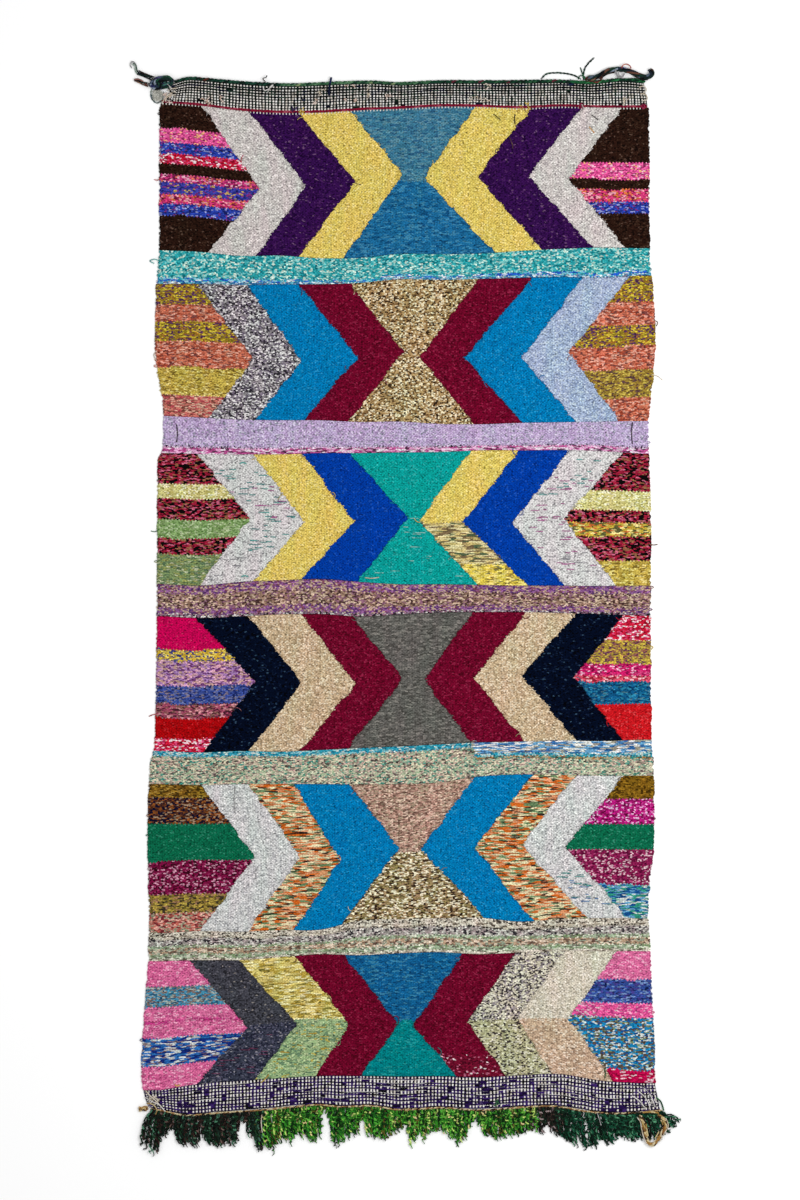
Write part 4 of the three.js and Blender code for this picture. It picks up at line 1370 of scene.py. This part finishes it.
TEAL_GREEN = mix("#12382c 44 #1c4a38 26 #0c2018 30")
RUSTY_GREEN = mix("#5c2a20 50 #12382c 30 #7a4434 20")
MID_GREEN = mix("#3a6646 42 #5a8460 24 #1a3e2e 28 #889c70 6")
MAROON_GREEN = mix("#14402c 50 #0c2418 24 #5c2430 14 #2c5c3c 12")
BRIGHT_GREEN = mix("#1c5c34 44 #2f7a48 24 #0e2c20 32")
TAN_BINDING = mix("#dccba0 36 #b8925f 26 #8c643c 16 #3a2a1c 22")
HEAD_BINDING_ZONES = (
    # from x, to x, colours
    (-703, -627, TEAL_GREEN), (-627, -603, RUSTY_GREEN), (-603, -387, TEAL_GREEN),
    (-387, 63, MID_GREEN), (63, 453, MAROON_GREEN), (453, 706, BRIGHT_GREEN),
)
FOOT_BINDING_ZONES = ((-774, 757, TAN_BINDING),)


def bind(name, line_y, zones, spread, thick, pitch, slot, middle_z):
    """Two plies twisted along an edge, dyed zone by zone."""
    strands = Strands(name)
    for number, (start, end, colours) in enumerate(zones):
        places = np.arange(start, end + 2.6, 2.5)
        centre = np.column_stack([places, line_y(places), np.full(len(places), middle_z)])
        for k in range(2):
            material = strand(f"{name}_{number}", colours, twist=3.5, stray=0.24)
            ply = twisted(centre, spread, pitch, k, 2, flat=0.6)
            radius = thick * (1 + 0.16 * wander(k + 800, places, 12))
            ply[:, 2] = np.maximum(ply[:, 2], radius + 0.1)
            strands.add(ply, radius, material, sides=7)
    return strands.make(name, slot)


def head_binding_y(x):
    return head_line(x) - HEAD_BINDING / 2 - 0.1


head_binding = bind(
    "head_binding", head_binding_y, HEAD_BINDING_ZONES, 2.2, 3.0, 26, "green_binding",
    HEAD_BINDING / 2,
)
foot_binding = bind(
    "foot_binding", foot_line, FOOT_BINDING_ZONES, 1.4, 1.9, 20, "tan_binding", FOOT_BINDING / 2
)


# Fringe

FRINGE_EDGE = (
    # x, y of the ragged lower edge
    (-816, -1542), (-804, -1590), (-774, -1617), (-756, -1617), (-745, -1572), (-726, -1560),
    (-715, -1536), (-705, -1542), (-693, -1584), (-646, -1593), (-627, -1584), (-618, -1558),
    (-603, -1584), (-588, -1593), (-513, -1584), (-510, -1539), (-507, -1518), (-487, -1518),
    (-481, -1554), (-461, -1578), (-459, -1602), (-420, -1599), (-409, -1614), (-391, -1578),
    (-357, -1587), (-333, -1560), (-310, -1566), (-282, -1584), (-264, -1560), (-261, -1530),
    (-258, -1476), (-249, -1476), (-237, -1527), (-234, -1560), (-223, -1596), (-200, -1578),
    (-153, -1554), (-144, -1513), (-133, -1519), (-127, -1560), (-66, -1572), (-54, -1554),
    (-20, -1538), (-9, -1519), (-1, -1572), (8, -1590), (25, -1561), (48, -1584), (60, -1553),
    (95, -1541), (118, -1553), (147, -1587), (159, -1578), (176, -1560), (194, -1508),
    (205, -1513), (228, -1556), (252, -1569), (297, -1563), (333, -1557), (373, -1547),
    (399, -1560), (411, -1529), (432, -1549), (466, -1578), (513, -1596), (556, -1604),
    (573, -1576), (597, -1590), (620, -1584), (635, -1558), (670, -1578), (705, -1569),
    (733, -1578), (768, -1563), (786, -1545), (818, -1518),
)
FRINGE_LEAN = (
    # x at the root, how far the tip is to the side
    (-776, -38), (-745, -22), (-700, -4), (-600, 0), (350, 0), (420, 12), (560, 26), (640, 20),
    (700, 38), (757, 60),
)
DARK_FRINGE = (
    mix("#0f2018 44 #1d3428 26 #080d0c 20 #3a5c4e 10"),
    mix("#2e1e1a 40 #120e0c 34 #0f1f18 16 #64504a 10"),
    mix("#163420 46 #0a1610 34 #44745a 20"),
)
MID_FRINGE = (
    mix("#2d7c20 40 #68ac3c 25 #0d2c0d 25 #b8cc70 10"),
    mix("#5aa036 37 #b0cc68 22 #2a6c1c 30 #d4c088 11"),
    mix("#54501f 24 #0e300e 42 #2f7a1f 34"),
    mix("#1c5c1a 38 #0c2a0e 34 #4ca034 28"),
)
BROWN_FRINGE = (
    mix("#241a18 46 #0f0d0c 30 #163024 16 #8c7c7c 8"),
    mix("#1c2c20 44 #0e1410 34 #4c3a34 22"),
)
DEEP_FRINGE = (
    mix("#0a3822 44 #145038 24 #05160f 23 #4c8664 9"),
    mix("#0b2919 44 #06140e 32 #164a33 24"),
    mix("#10442f 44 #08251a 37 #4c8664 19"),
)
FRINGE_STEP = 3.0
FRINGE_TOP = 1.5  # how far the yarns reach under the binding
DARK_TO = -443  # x where one family of colours gives way to the next
MID_TO = 372
BROWN_TO = 450
THIN_FROM = 470  # between these two the comb is thin, and the floor shows through it
THIN_TO = 605


def fringe_colours(x, rng):
    family, mixes = "dark", DARK_FRINGE
    if x > DARK_TO:
        family, mixes = "mid", MID_FRINGE
    if x > MID_TO:
        family, mixes = "brown", BROWN_FRINGE
    if x > BROWN_TO:
        family, mixes = "deep", DEEP_FRINGE
    k = int(rng.integers(0, len(mixes)))
    return strand(f"fringe_{family}_{k}", mixes[k], twist=3.0, stray=0.24, deep=True)


def make_fringe():
    """One comb of curled yarns from the foot binding, over a thin layer of shorter dark ones, which
    also lay painted shade in the gaps between the curls.
    """
    strands = Strands("fringe")
    rng = np.random.default_rng(21)
    edge = np.array(FRINGE_EDGE, float)
    lean = np.array(FRINGE_LEAN, float)
    roots = np.arange(-772, 756, FRINGE_STEP)
    for root_x in roots:
        root_x = root_x + rng.uniform(-1.2, 1.2)
        tip_x = root_x + np.interp(root_x, lean[:, 0], lean[:, 1]) + rng.uniform(-5, 5)
        root_y = float(foot_line(root_x)) - FOOT_BINDING / 2 - SEAT + FRINGE_TOP
        length = max(7.0, root_y - float(np.interp(tip_x, edge[:, 0], edge[:, 1])))
        if rng.random() < 0.3:
            length *= rng.uniform(0.55, 0.85)
        else:
            length *= rng.uniform(0.86, 1.02)
        steps = max(6, int(length / 3.3))
        t = np.linspace(0, 1, steps)
        turn = t * length / rng.uniform(12, 20) * 2 * np.pi + rng.uniform(0, 6)
        grow = np.clip(t * length / 10, 0.4, 1)
        curl = rng.uniform(2.8, 5.2)
        x = root_x + (tip_x - root_x) * t ** 0.75 + curl * grow * np.sin(turn)
        x = x + 4.5 * wander(int(rng.integers(1e6)), t * length, 20) * grow
        y = root_y - t * length + 4.0 * grow * np.sin(turn * 0.9 + 1)
        layer = rng.uniform(3.2, 7.6)
        z = np.maximum(layer + 1.9 * grow * np.cos(turn), 3.6)
        radius = rng.uniform(2.0, 2.9) * (1 + 0.22 * wander(int(rng.integers(1e6)), t * length, 5))
        radius = radius * np.clip((1 - t) * 5 + 0.5, 0, 1)
        z = np.maximum(z, radius + 0.1)
        if THIN_FROM < root_x < THIN_TO and rng.random() < 0.26:
            continue
        colours = fringe_colours(root_x + rng.uniform(-20, 20), rng)
        strands.add(np.column_stack([x, y, z]), radius, colours, sides=5)
    # Under-layer: shorter dark yarns of the fringe, which also fill the gaps between the curls with
    # painted shade
    for root_x in roots[::3]:
        if THIN_FROM < root_x < THIN_TO and rng.random() < 0.5:
            continue
        tip_x = root_x + np.interp(root_x, lean[:, 0], lean[:, 1])
        root_y = float(foot_line(root_x)) - FOOT_BINDING / 2 - SEAT + FRINGE_TOP
        length = max(6.0, 0.84 * (root_y - float(np.interp(tip_x, edge[:, 0], edge[:, 1]))))
        t = np.linspace(0, 1, 7)
        x = root_x + (tip_x - root_x) * t * 0.84 + 1.5 * np.sin(t * 7 + root_x)
        line = np.column_stack([x, root_y - t * length, np.full(7, 2.0)])
        if root_x < DARK_TO:
            low_mix = DARK_FRINGE[0]
        elif root_x < MID_TO:
            low_mix = MID_FRINGE[3]
        else:
            low_mix = DEEP_FRINGE[1]
        strands.add(line, 4.0, strand(f"fringe_low_{low_mix[0][0][1:]}", low_mix), sides=5, flat=0.4)
    return strands.make("foot_fringe", "fringe_yarn")


fringe = make_fringe()


# Knot, pad and stub at the corners

CORNER_TILT = 0.12  # how far the knot and the stub are turned


def turned(x, y, angle):
    return x * math.cos(angle) - y * math.sin(angle), x * math.sin(angle) + y * math.cos(angle)


def make_knot():
    """A heap of loops of yarn, clipped to the outline of the knot."""
    strands = Strands("head_left_knot")
    rng = np.random.default_rng(5)
    mixes = (INK_MIX, DARK_MIX, GREEN_MIX, INK_MIX, SLATE_MIX)
    for k in range(15):
        t = np.linspace(0, 2 * np.pi, 26)
        wide = rng.uniform(12, 36)
        deep = rng.uniform(6, 17)
        shift = rng.uniform(-26, 22) * (1 - wide / 44)
        tilt = rng.uniform(-0.5, 0.5)
        x, y = turned(wide * np.cos(t) + shift, deep * np.sin(t), tilt * 0.35)
        z = 7.5 + 4.2 * np.sin(t + rng.uniform(0, 6)) * rng.uniform(0.3, 1)
        x = np.clip(x, -38, 35)
        y = np.clip(y, -17, 17)
        x, y = turned(x, y, CORNER_TILT)
        material = strand(f"knot_{k % 5}", mixes[k % 5], twist=4.0)
        line = np.column_stack([x - 741.0, y + 1602, np.clip(z, 4.1, 12)])
        strands.add(line, 3.9, material, sides=7)
    return strands.make("head_left_knot", "dark_tie")


def make_pad():
    """A flattened end of yarn, wound into a disc."""
    strands = Strands("head_left_pad")
    t = np.linspace(0.12, 1, 130)
    angle = t * 2 * np.pi * 4.4
    radius = 17.2 * t
    line = np.column_stack([
        -754.6 + radius * np.cos(angle), 1564 + radius * np.sin(angle), np.full(len(t), 2.45),
    ])
    strands.add(line, 2.3, strand("pad", PALE_MIX, twist=4.0), sides=6)
    return strands.make("head_left_pad", "pale_tie")


def make_stub():
    """A short frayed bunch of yarns, drawn together near its middle."""
    strands = Strands("foot_left_stub")
    rng = np.random.default_rng(8)
    material = strand("stub", TAN_MIX, twist=4.0)
    for _ in range(14):
        side = rng.uniform(-7.5, 7.5)
        points = []
        for place in np.linspace(-14, 13 + rng.uniform(-5, 2), 8):
            squeeze = 0.62 + 0.38 * min(1, abs(place + 4) / 9)
            points.append((place, side * squeeze + rng.uniform(-0.6, 0.6), rng.uniform(2.6, 6.4)))
        line = np.array(points)
        x, y = turned(line[:, 0], line[:, 1], CORNER_TILT)
        strands.add(np.column_stack([x - 796.2, y - 1474, line[:, 2]]), 1.9, material, sides=6)
    return strands.make("foot_left_stub", "tan_tie")


make_knot()
make_pad()
make_stub()


# Loose threads: ends of yarn that stand off the cloth, its slits and its sides

LOOSE_MIXES = {
    "magenta": mix("#b04890 60 #d088b8 40"),
    "silver": mix("#8c8a90 60 #b4b2b8 40"),
    "mint": mix("#a8e0d8 60 #58b8b0 40"),
    "blue": mix("#3c78bc 60 #78a8d4 40"),
    "plum": mix("#64304c 60 #8c5074 40"),
    "gilt": mix("#c8a030 60 #e8cc60 40"),
    "ember": mix("#d0601c 60 #e89454 40"),
    "gold": mix("#b08848 44 #e0cc98 36 #2c2018 20"),
    "forest": mix("#14442c 60 #2c7048 40"),
    "maroon": mix("#4c1c20 60 #7c3430 40"),
    "rust": mix("#b04c3c 60 #dc8c74 40"),
    "cream": mix("#efe4d4 60 #d4c4ac 40"),
    "blush": mix("#f0dcd0 56 #d8b8a4 44"),
    "white": mix("#f4f0ec 70 #d4d0cc 30"),
    "black": mix("#15100f 70 #3a2c26 30"),
    "navy": mix("#0c1430 70 #1c2850 30"),
    "purple": mix("#2e1850 60 #54407c 40"),
    "yellow": mix("#e0c45c 60 #c8983c 40"),
    "orange": mix("#d88840 60 #e0b070 40"),
    "burgundy": mix("#7c1038 60 #a42c50 40"),
    "green": mix("#1c4a30 60 #3c7448 40"),
    "teal": mix("#1c8c8c 60 #5cb8b0 40"),
    "red": mix("#a41c20 60 #c84440 40"),
    "tan": mix("#b08c54 50 #d8c494 50"),
    "grey": mix("#9c9a9c 60 #c4c2c2 40"),
    "brown": mix("#5c4034 60 #8c6c58 40"),
}

THREADS = (
    # colours, radius, route
    # The first white thread lies on top of the knot as a painted highlight
    ("white", 1.6, ((-724, 1598, 13), (-717, 1590, 13), (-711, 1582, 12))),
    ("purple", 2.0, ((-764, 1612, 12), (-752, 1616, 13), (-738, 1617, 12))),
    ("gold", 2.2, ((698, -1497, 11.5), (708, -1512, 11.5), (712, -1532, 11.5), (716, -1553, 11.5),
                   (724, -1568, 11.5))),
    ("cream", 1.8, ((684, -1500, 11), (693, -1512, 11), (697, -1532, 11), (702, -1554, 11),
                    (712, -1578, 11))),
    ("gold", 2.0, ((738, -1562, 11), (750, -1541, 11), (761, -1522, 11), (755, -1507, 11))),
    ("cream", 1.8, ((751, -1572, 11), (765, -1548, 11), (777, -1524, 11), (769, -1502, 11))),
    ("gold", 2.2, ((688, -1487, 10), (706, -1485, 10.5), (728, -1484, 10.5), (749, -1487, 10.5))),
    ("black", 2.4, ((716, -1500, 10), (722, -1520, 10), (724, -1542, 10), (727, -1558, 10))),
    ("gold", 2.6, ((712, -1570, 11), (722, -1583, 11), (734, -1584, 11), (744, -1574, 11))),
    ("black", 2.0, ((-764, 1619, 5), (-780, 1625, 3.6), (-797, 1632, 3.4), (-811, 1638.5, 3.4))),
    ("brown", 2.0, ((-783, 1591, 5), (-798, 1597, 3.6), (-812, 1604, 3.4), (-824, 1609, 3.4))),
    ("grey", 1.5, ((-817, 1652, 3.2), (-822, 1662, 3.2), (-831, 1666, 3.2), (-836, 1656, 3.2),
                   (-831, 1646, 3.2))),
    ("forest", 2.0, ((546, 1611, 6), (574, 1606, 6), (598, 1609, 6), (636, 1612, 6), (672, 1614, 6),
                     (704, 1611, 6))),
    ("forest", 1.8, ((514, 1648, 5), (520, 1630, 5), (526, 1616, 6), (546, 1608, 6))),
    ("forest", 1.6, ((508, 1612, 5), (512, 1622, 5), (524, 1622, 5), (532, 1612, 5))),
    ("maroon", 2.6, ((528, 1610, 6), (540, 1621, 7), (556, 1612, 8), (572, 1622, 8), (580, 1614, 7))),
    ("maroon", 2.4, ((532, 1604, 5), (546, 1607, 7), (560, 1603, 7), (576, 1608, 6))),
    ("brown", 2.2, ((534, 1616, 6), (550, 1610, 9), (566, 1618, 9), (578, 1610, 7))),
    ("rust", 1.7, ((636, 1645, 13), (642, 1654, 13), (652, 1657, 12), (662, 1652, 12), (666, 1644, 12))),
    ("grey", 2.2, ((618, 1640, 14), (622, 1628, 12), (628, 1618, 9), (640, 1620, 9), (646, 1630, 11))),
    ("grey", 1.8, ((628, 1636, 12), (630, 1624, 11), (638, 1616, 9))),
    ("black", 2.2, ((660, 1638, 10), (676, 1622, 10), (696, 1612, 9), (716, 1611, 8))),
    ("black", 2.0, ((574, 1614, 8), (590, 1625, 11), (604, 1630, 12), (616, 1632, 11))),
    ("navy", 3.2, ((-240, 1564, 5.5), (-240, 1580, 6.5), (-237, 1598, 7.5), (-233, 1618, 7.5))),
    ("white", 1.5, ((-438, 1592, 6), (-433, 1579, 6), (-417, 1586, 7), (-399, 1603, 6))),
    ("white", 1.3, ((-424, 1574, 5.5), (-414, 1592, 7), (-400, 1600, 6))),
    ("black", 1.5, ((-430, 1604, 8), (-438, 1614, 9), (-428, 1618, 9), (-426, 1624, 8))),
    ("cream", 1.8, ((-702, 1566, 5), (-720, 1562, 6), (-734, 1551, 5), (-741, 1540, 4))),
    ("cream", 1.8, ((-700, 1576, 5), (-716, 1569, 6), (-728, 1562, 5))),
    ("cream", 1.6, ((-697, 1586, 5), (-712, 1584, 6), (-724, 1578, 5))),
    ("black", 1.8, ((-700, 1571, 6), (-712, 1574, 6), (-722, 1588, 6))),
    ("navy", 2.2, ((-700, 1594, 6), (-709, 1590, 7), (-716, 1600, 8), (-726, 1606, 8))),
    ("black", 1.6, ((-728, 1556, 5), (-716, 1552, 6), (-706, 1545, 5))),
    ("white", 1.5, ((-712, 1598, 8), (-719, 1604, 11), (-728, 1608, 10))),
    ("cream", 1.7, ((690, 1588, 5), (704, 1592, 6), (712, 1580, 6), (703, 1572, 5))),
    ("cream", 1.7, ((694, 1570, 5), (710, 1566, 6), (714, 1552, 6), (700, 1548, 5))),
    ("grey", 1.4, ((282, 1548, 5), (289, 1541, 6), (297, 1545, 5))),
    ("black", 1.3, ((318, 1508, 6.5), (316, 1494, 7), (318, 1478, 6.5))),
    ("black", 1.1, ((254, 1508, 6.5), (266, 1498, 7), (275, 1489, 6.5))),
    ("black", 1.1, ((546, 1506, 6.5), (556, 1499, 7), (566, 1490, 6.5))),
    ("orange", 1.6, ((540, 1470, 6.2), (547, 1462, 6.6), (556, 1452, 6.2))),
    ("brown", 1.1, ((300, 1440, 6.2), (308, 1424, 7), (312, 1404, 6.2))),
    ("teal", 1.6, ((-508, 460, 6.2), (-498, 463, 6.8), (-487, 460, 6.2))),
    ("teal", 1.6, ((-503, 121, 6.2), (-492, 124, 6.8), (-482, 121, 6.2))),
    ("cream", 1.5, ((-132, 118, 6.2), (-112, 116, 6.8), (-90, 119, 6.2))),
    ("black", 1.3, ((-697, 578, 6.4), (-694, 552, 7), (-697, 524, 6.4))),
    ("black", 1.3, ((670, 584, 6.4), (667, 552, 7), (670, 518, 6.4))),
    ("grey", 1.2, ((-522, -508, 6.0), (-524, -550, 6.2), (-521, -592, 6.0))),
    ("yellow", 1.8, ((-702, -1402, 5.4), (-695, -1406, 6.2), (-687, -1403, 5.4))),
    ("green", 1.5, ((584, -1352, 6.2), (589, -1368, 6.6), (587, -1384, 6.2))),
    ("yellow", 1.5, ((-420, -1372, 6), (-432, -1386, 6.4), (-444, -1396, 6))),
    ("teal", 1.4, ((-746, 1066, 3), (-762, 1073, 4), (-777, 1068, 3), (-764, 1060, 3))),
    ("cream", 1.3, ((-755, 800, 3), (-765, 786, 3), (-757, 768, 3))),
    ("green", 1.4, ((-749, 262, 3), (-762, 256, 3), (-774, 258, 3))),
    ("red", 1.4, ((-752, -290, 3), (-768, -293, 3), (-780, -298, 3))),
    ("red", 1.4, ((-743, 1316, 3), (-755, 1310, 3), (-764, 1312, 3))),
    ("brown", 1.2, ((735, 890, 3), (746, 884, 3), (742, 872, 3))),
    ("cream", 1.3, ((727, 728, 3), (746, 722, 3), (761, 710, 3))),
    ("brown", 1.4, ((719, 220, 3), (734, 216, 3), (746, 218, 3))),
    ("yellow", 1.3, ((719, -86, 3), (732, -90, 3), (726, -98, 3))),
    ("green", 2.2, ((740, -1440, 5), (754, -1452, 5), (760, -1466, 5), (764, -1480, 5))),
    ("white", 1.8, ((700, -1408, 5), (718, -1424, 6), (730, -1446, 6), (738, -1470, 5))),
    ("white", 1.6, ((684, -1420, 5), (704, -1436, 6), (718, -1458, 6), (724, -1478, 5))),
    ("purple", 1.8, ((690, -1402, 5), (712, -1416, 6), (726, -1436, 6), (738, -1458, 5))),
    ("white", 1.7, ((668, -1436, 5), (690, -1450, 6), (706, -1470, 6))),
    ("cream", 1.8, ((-790, -1420, 4), (-776, -1436, 6), (-762, -1448, 6), (-742, -1470, 5))),
    ("white", 1.6, ((-792, -1440, 4), (-772, -1452, 6), (-750, -1462, 6), (-730, -1484, 5))),
    ("tan", 1.8, ((-786, -1458, 5), (-768, -1462, 6), (-756, -1478, 6), (-760, -1492, 6))),
    ("cream", 1.5, ((-780, -1446, 5), (-766, -1440, 7), (-754, -1450, 7), (-766, -1458, 6))),
    ("cream", 1.5, ((-441, -1492, 8), (-443, -1512, 9), (-440, -1546, 8))),
    ("grey", 1.4, ((-411, -1490, 8), (-413, -1500, 9), (-410, -1516, 8))),
    ("grey", 1.5, ((564, -1486, 9), (570, -1504, 9), (576, -1524, 9))),
)

FRAYS = (
    # colours, left, right, foot, top, how many threads
    ("blush", -624, -597, 1538, 1556, 7), ("blush", -567, -558, 1540, 1563, 5),
    ("blush", -288, -279, 1538, 1554, 4), ("cream", -273, -252, 1564, 1582, 7),
    ("blush", -200, -164, 1588, 1598, 5), ("cream", -126, -116, 1562, 1594, 6),
    ("blush", -196, -186, 1546, 1554, 3), ("blush", -166, -152, 1546, 1556, 3),
    ("blush", -72, -54, 1552, 1566, 5), ("cream", 180, 240, 1546, 1566, 14),
    ("cream", 226, 243, 1584, 1602, 5), ("cream", 636, 654, 1532, 1558, 8),
    ("blush", -738, -706, 1540, 1572, 12), ("yellow", 327, 363, 1516, 1540, 9),
    ("yellow", -327, -316, 1510, 1526, 6), ("purple", -351, -337, 1512, 1530, 6),
    ("burgundy", 507, 519, 1524, 1540, 5), ("burgundy", 690, 712, 1524, 1540, 6),
    ("navy", 480, 493, 1594, 1608, 7), ("navy", -321, -313, 1544, 1552, 3),
    ("tan", -20, -4, -1482, -1470, 6), ("green", 256, 270, -1470, -1444, 7),
    ("purple", -357, -321, -1440, -1400, 12), ("purple", -690, -660, -1490, -1450, 9),
    ("purple", 198, 219, -1466, -1434, 7), ("cream", -784, -750, -1464, -1434, 10),
    ("white", 700, 742, -1476, -1424, 12),
)

DASHES = (
    # panel, zone from the left, share down from, share down to, colours, how many
    ("panel_3", 1, 0.10, 0.48, "teal", 22), ("panel_3", 1, 0.24, 0.50, "magenta", 12),
    ("panel_3", 1, 0.48, 0.76, "teal", 20), ("panel_3", 1, 0.78, 0.96, "silver", 10),
    ("panel_3", 7, 0.06, 0.34, "teal", 14), ("panel_3", 7, 0.20, 0.58, "magenta", 22),
    ("panel_3", 7, 0.58, 0.96, "magenta", 14), ("panel_3", 7, 0.62, 0.90, "silver", 10),
    ("panel_3", 4, 0.50, 0.96, "mint", 14), ("panel_5", 7, 0.62, 0.94, "teal", 14),
    ("panel_5", 7, 0.66, 0.94, "blue", 10), ("panel_6", 1, 0.60, 0.94, "plum", 16),
    ("panel_6", 2, 0.10, 0.46, "gilt", 16), ("panel_6", 2, 0.56, 0.90, "gilt", 10),
    ("panel_5", 2, 0.06, 0.94, "ember", 22), ("panel_5", 6, 0.06, 0.94, "ember", 26),
    ("panel_5", 6, 0.06, 0.94, "black", 10), ("panel_5", 2, 0.06, 0.94, "black", 8),
)


def loose(colours):
    return strand("loose_" + colours, LOOSE_MIXES[colours])


def add_dashes(strands, rng, y_from, y_to):
    """Lengths of another colour that lie along the weft of a field."""
    for name, zone, first, last, colours, count in DASHES:
        band = bands[name]
        for _ in range(count):
            down = rng.uniform(first, last)
            left, right = (float(band.line_x(k, down)) for k in (zone - 1, zone))
            half = rng.uniform(5, 15)
            x = rng.uniform(left + half + 4, right - half - 4)
            y = float(band.y_at(x, down))
            if y_from < y <= y_to:
                dash = ((x - half, y, 5.2), (x - half * 0.5, y + 0.3, 5.9), (x, y, 5.8),
                        (x + half * 0.5, y - 0.3, 5.9), (x + half, y, 5.2))
                strands.add(dash, rng.uniform(1.1, 1.5), loose(colours), sides=5)


def yarn_of(stripes, share):
    """Yarn of a zone at a share of the way down it."""
    total = sum(height for _, height in stripes)
    reached = 0.0
    for name, height in stripes:
        reached += height / total
        if share <= reached:
            return name
    return stripes[-1][0]


def thread_of(name):
    return strand("thread_" + name, YARNS[name]["colours"], twist=3.0, stray=0.2)


def slit_places(rng, every):
    """Places along the lines between zones, with the yarns on the left and on the right."""
    for band in bands.values():
        for k in range(len(band.lines)):
            down = 0.03
            while down < 0.97:
                x = float(band.line_x(k, down))
                left, right = (yarn_of(band.zones[zone], down) for zone in (k, k + 1))
                yield x, float(band.y_at(x, down)), left, right
                down += every * rng.uniform(0.5, 1.5) / band.height


def add_slit_knots(strands, rng, y_from, y_to):
    """Small turns of yarn beside the slits, mostly of the paler of the two yarns."""
    for x, y, left, right in slit_places(rng, 11):
        paler_left = brightness(YARNS[left]["colours"]) > brightness(YARNS[right]["colours"])
        chosen = left if paler_left == (rng.random() < 0.8) else right
        reach = rng.uniform(1.4, 3.0)
        push = rng.uniform(-1.2, 1.2) + (0.6 if paler_left else -0.6)
        if y_from < y <= y_to:
            line = ((x + push - reach, y, 5.0), (x + push, y + 0.6, 6.3), (x + push + reach, y, 5.0))
            strands.add(line, rng.uniform(1.3, 2.1), thread_of(chosen), sides=5)


def add_stray_ends(strands, rng, y_from, y_to):
    """Thin ends of yarn left hanging from the slits."""
    for x, y, left, right in slit_places(rng, 210):
        chosen = left if rng.random() < 0.5 else right
        angle = rng.uniform(0, 2 * np.pi)
        bend = rng.uniform(-0.12, 0.12)
        reach = np.linspace(0, rng.uniform(9, 24), 7)
        if y_from < y <= y_to:
            line = np.column_stack([
                x + reach * np.cos(angle + bend * reach), y + reach * np.sin(angle + bend * reach),
                5.4 + 1.3 * np.sin(reach / reach[-1] * np.pi),
            ])
            strands.add(line, rng.uniform(0.8, 1.2), thread_of(chosen), sides=5)


def add_side_turns(strands, rng, y_from, y_to):
    """Weft yarns that turn back round the outer warp, and a few ends beside it."""
    for band in bands.values():
        for column, zone, x, out in ((1, 0, -745.0, -1), (2, -1, 725.0, 1)):
            top = float(border_y(band.upper, x))
            foot = float(border_y(band.lower, x))
            y = top - 5.0
            while y > foot + 5.0:
                chosen = yarn_of(band.zones[zone], (top - y) / (top - foot))
                side = float(side_x(y, column))
                reach = rng.uniform(0.3, 2.0)
                if rng.random() < 0.035:
                    reach = rng.uniform(5, 11)
                tall = rng.uniform(2.2, 4.2)
                if y_from < y <= y_to:
                    line = (
                        (side - out * 3, y + tall, 3.2), (side + out * reach * 0.7, y + tall * 0.7, 3.0),
                        (side + out * reach, y, 2.8), (side + out * reach * 0.6, y - tall * 0.8, 2.8),
                        (side - out * 3, y - tall, 3.0),
                    )
                    strands.add(line, 1.35, thread_of(chosen), sides=5)
                y -= rng.uniform(7, 22)


def make_loose(name, y_from, y_to, seed):
    strands = Strands(name)
    for colours, radius, points in THREADS:
        if y_from < points[0][1] <= y_to:
            strands.add(route(points, 2.2), radius, loose(colours))
    rng = np.random.default_rng(seed)
    for colours, left, right, foot, top, count in FRAYS:
        if not y_from < foot <= y_to:
            continue
        for _ in range(count):
            angle = rng.uniform(0, np.pi)
            reach = np.linspace(-1, 1, 6) * rng.uniform(3, 6.5)
            bend = rng.uniform(-0.16, 0.16)
            x = rng.uniform(left, right) + reach * np.cos(angle + bend * reach)
            y = rng.uniform(foot, top) + reach * np.sin(angle + bend * reach)
            z = 4.8 + rng.uniform(0, 1.2) + 0 * x
            strands.add(np.column_stack([x, y, z]), rng.uniform(1.2, 2.0), loose(colours), sides=5)
    add_dashes(strands, np.random.default_rng(seed + 4), y_from, y_to)
    add_slit_knots(strands, np.random.default_rng(seed + 1), y_from, y_to)
    add_stray_ends(strands, np.random.default_rng(seed + 2), y_from, y_to)
    add_side_turns(strands, np.random.default_rng(seed + 3), y_from, y_to)
    return strands.make("rug_cloth", "cloth")


loose_pieces = [
    make_loose("loose_ends_head", 0, 1700, 61), make_loose("loose_ends_foot", -1700, 0, 71),
]


# Stage and light

def make_stage():
    mesh = bpy.data.meshes.new("floor")
    half = 14.0
    mesh.from_pydata(
        [(-half, -half, 0), (half, -half, 0), (half, half, 0), (-half, half, 0)], [], [(0, 1, 2, 3)]
    )
    floor = add_object("floor", mesh)
    floor.location.z = -0.0004
    material, tree = new_material("pale_floor")
    shader = tree.nodes["Principled BSDF"]
    shader.inputs["Base Color"].default_value = (0.96, 0.96, 0.96, 1.0)
    shader.inputs["Roughness"].default_value = 0.95
    shader.inputs["Specular IOR Level"].default_value = 0.1
    mesh.materials.append(material)


def make_light():
    """An even sky and a large soft lamp on the right, so that the right side is a little
    brighter."""
    world = bpy.data.worlds.new("studio")
    world.use_nodes = True
    background = world.node_tree.nodes["Background"]
    background.inputs["Color"].default_value = (1.0, 1.0, 1.0, 1.0)
    background.inputs["Strength"].default_value = 0.82
    bpy.context.scene.world = world
    data = bpy.data.lights.new("softbox", "AREA")
    data.energy = 83
    data.size = 2.2
    light = add_object("softbox", data)
    light.location = (1.9, 0.3, 3.6)
    light.rotation_euler = (0, math.atan2(1.9, 3.6), 0)


make_stage()
make_light()
bpy.context.scene.view_settings.view_transform = "Standard"


woven[1:] + end_pieces + loose_pieces + [head_binding, foot_binding, fringe]
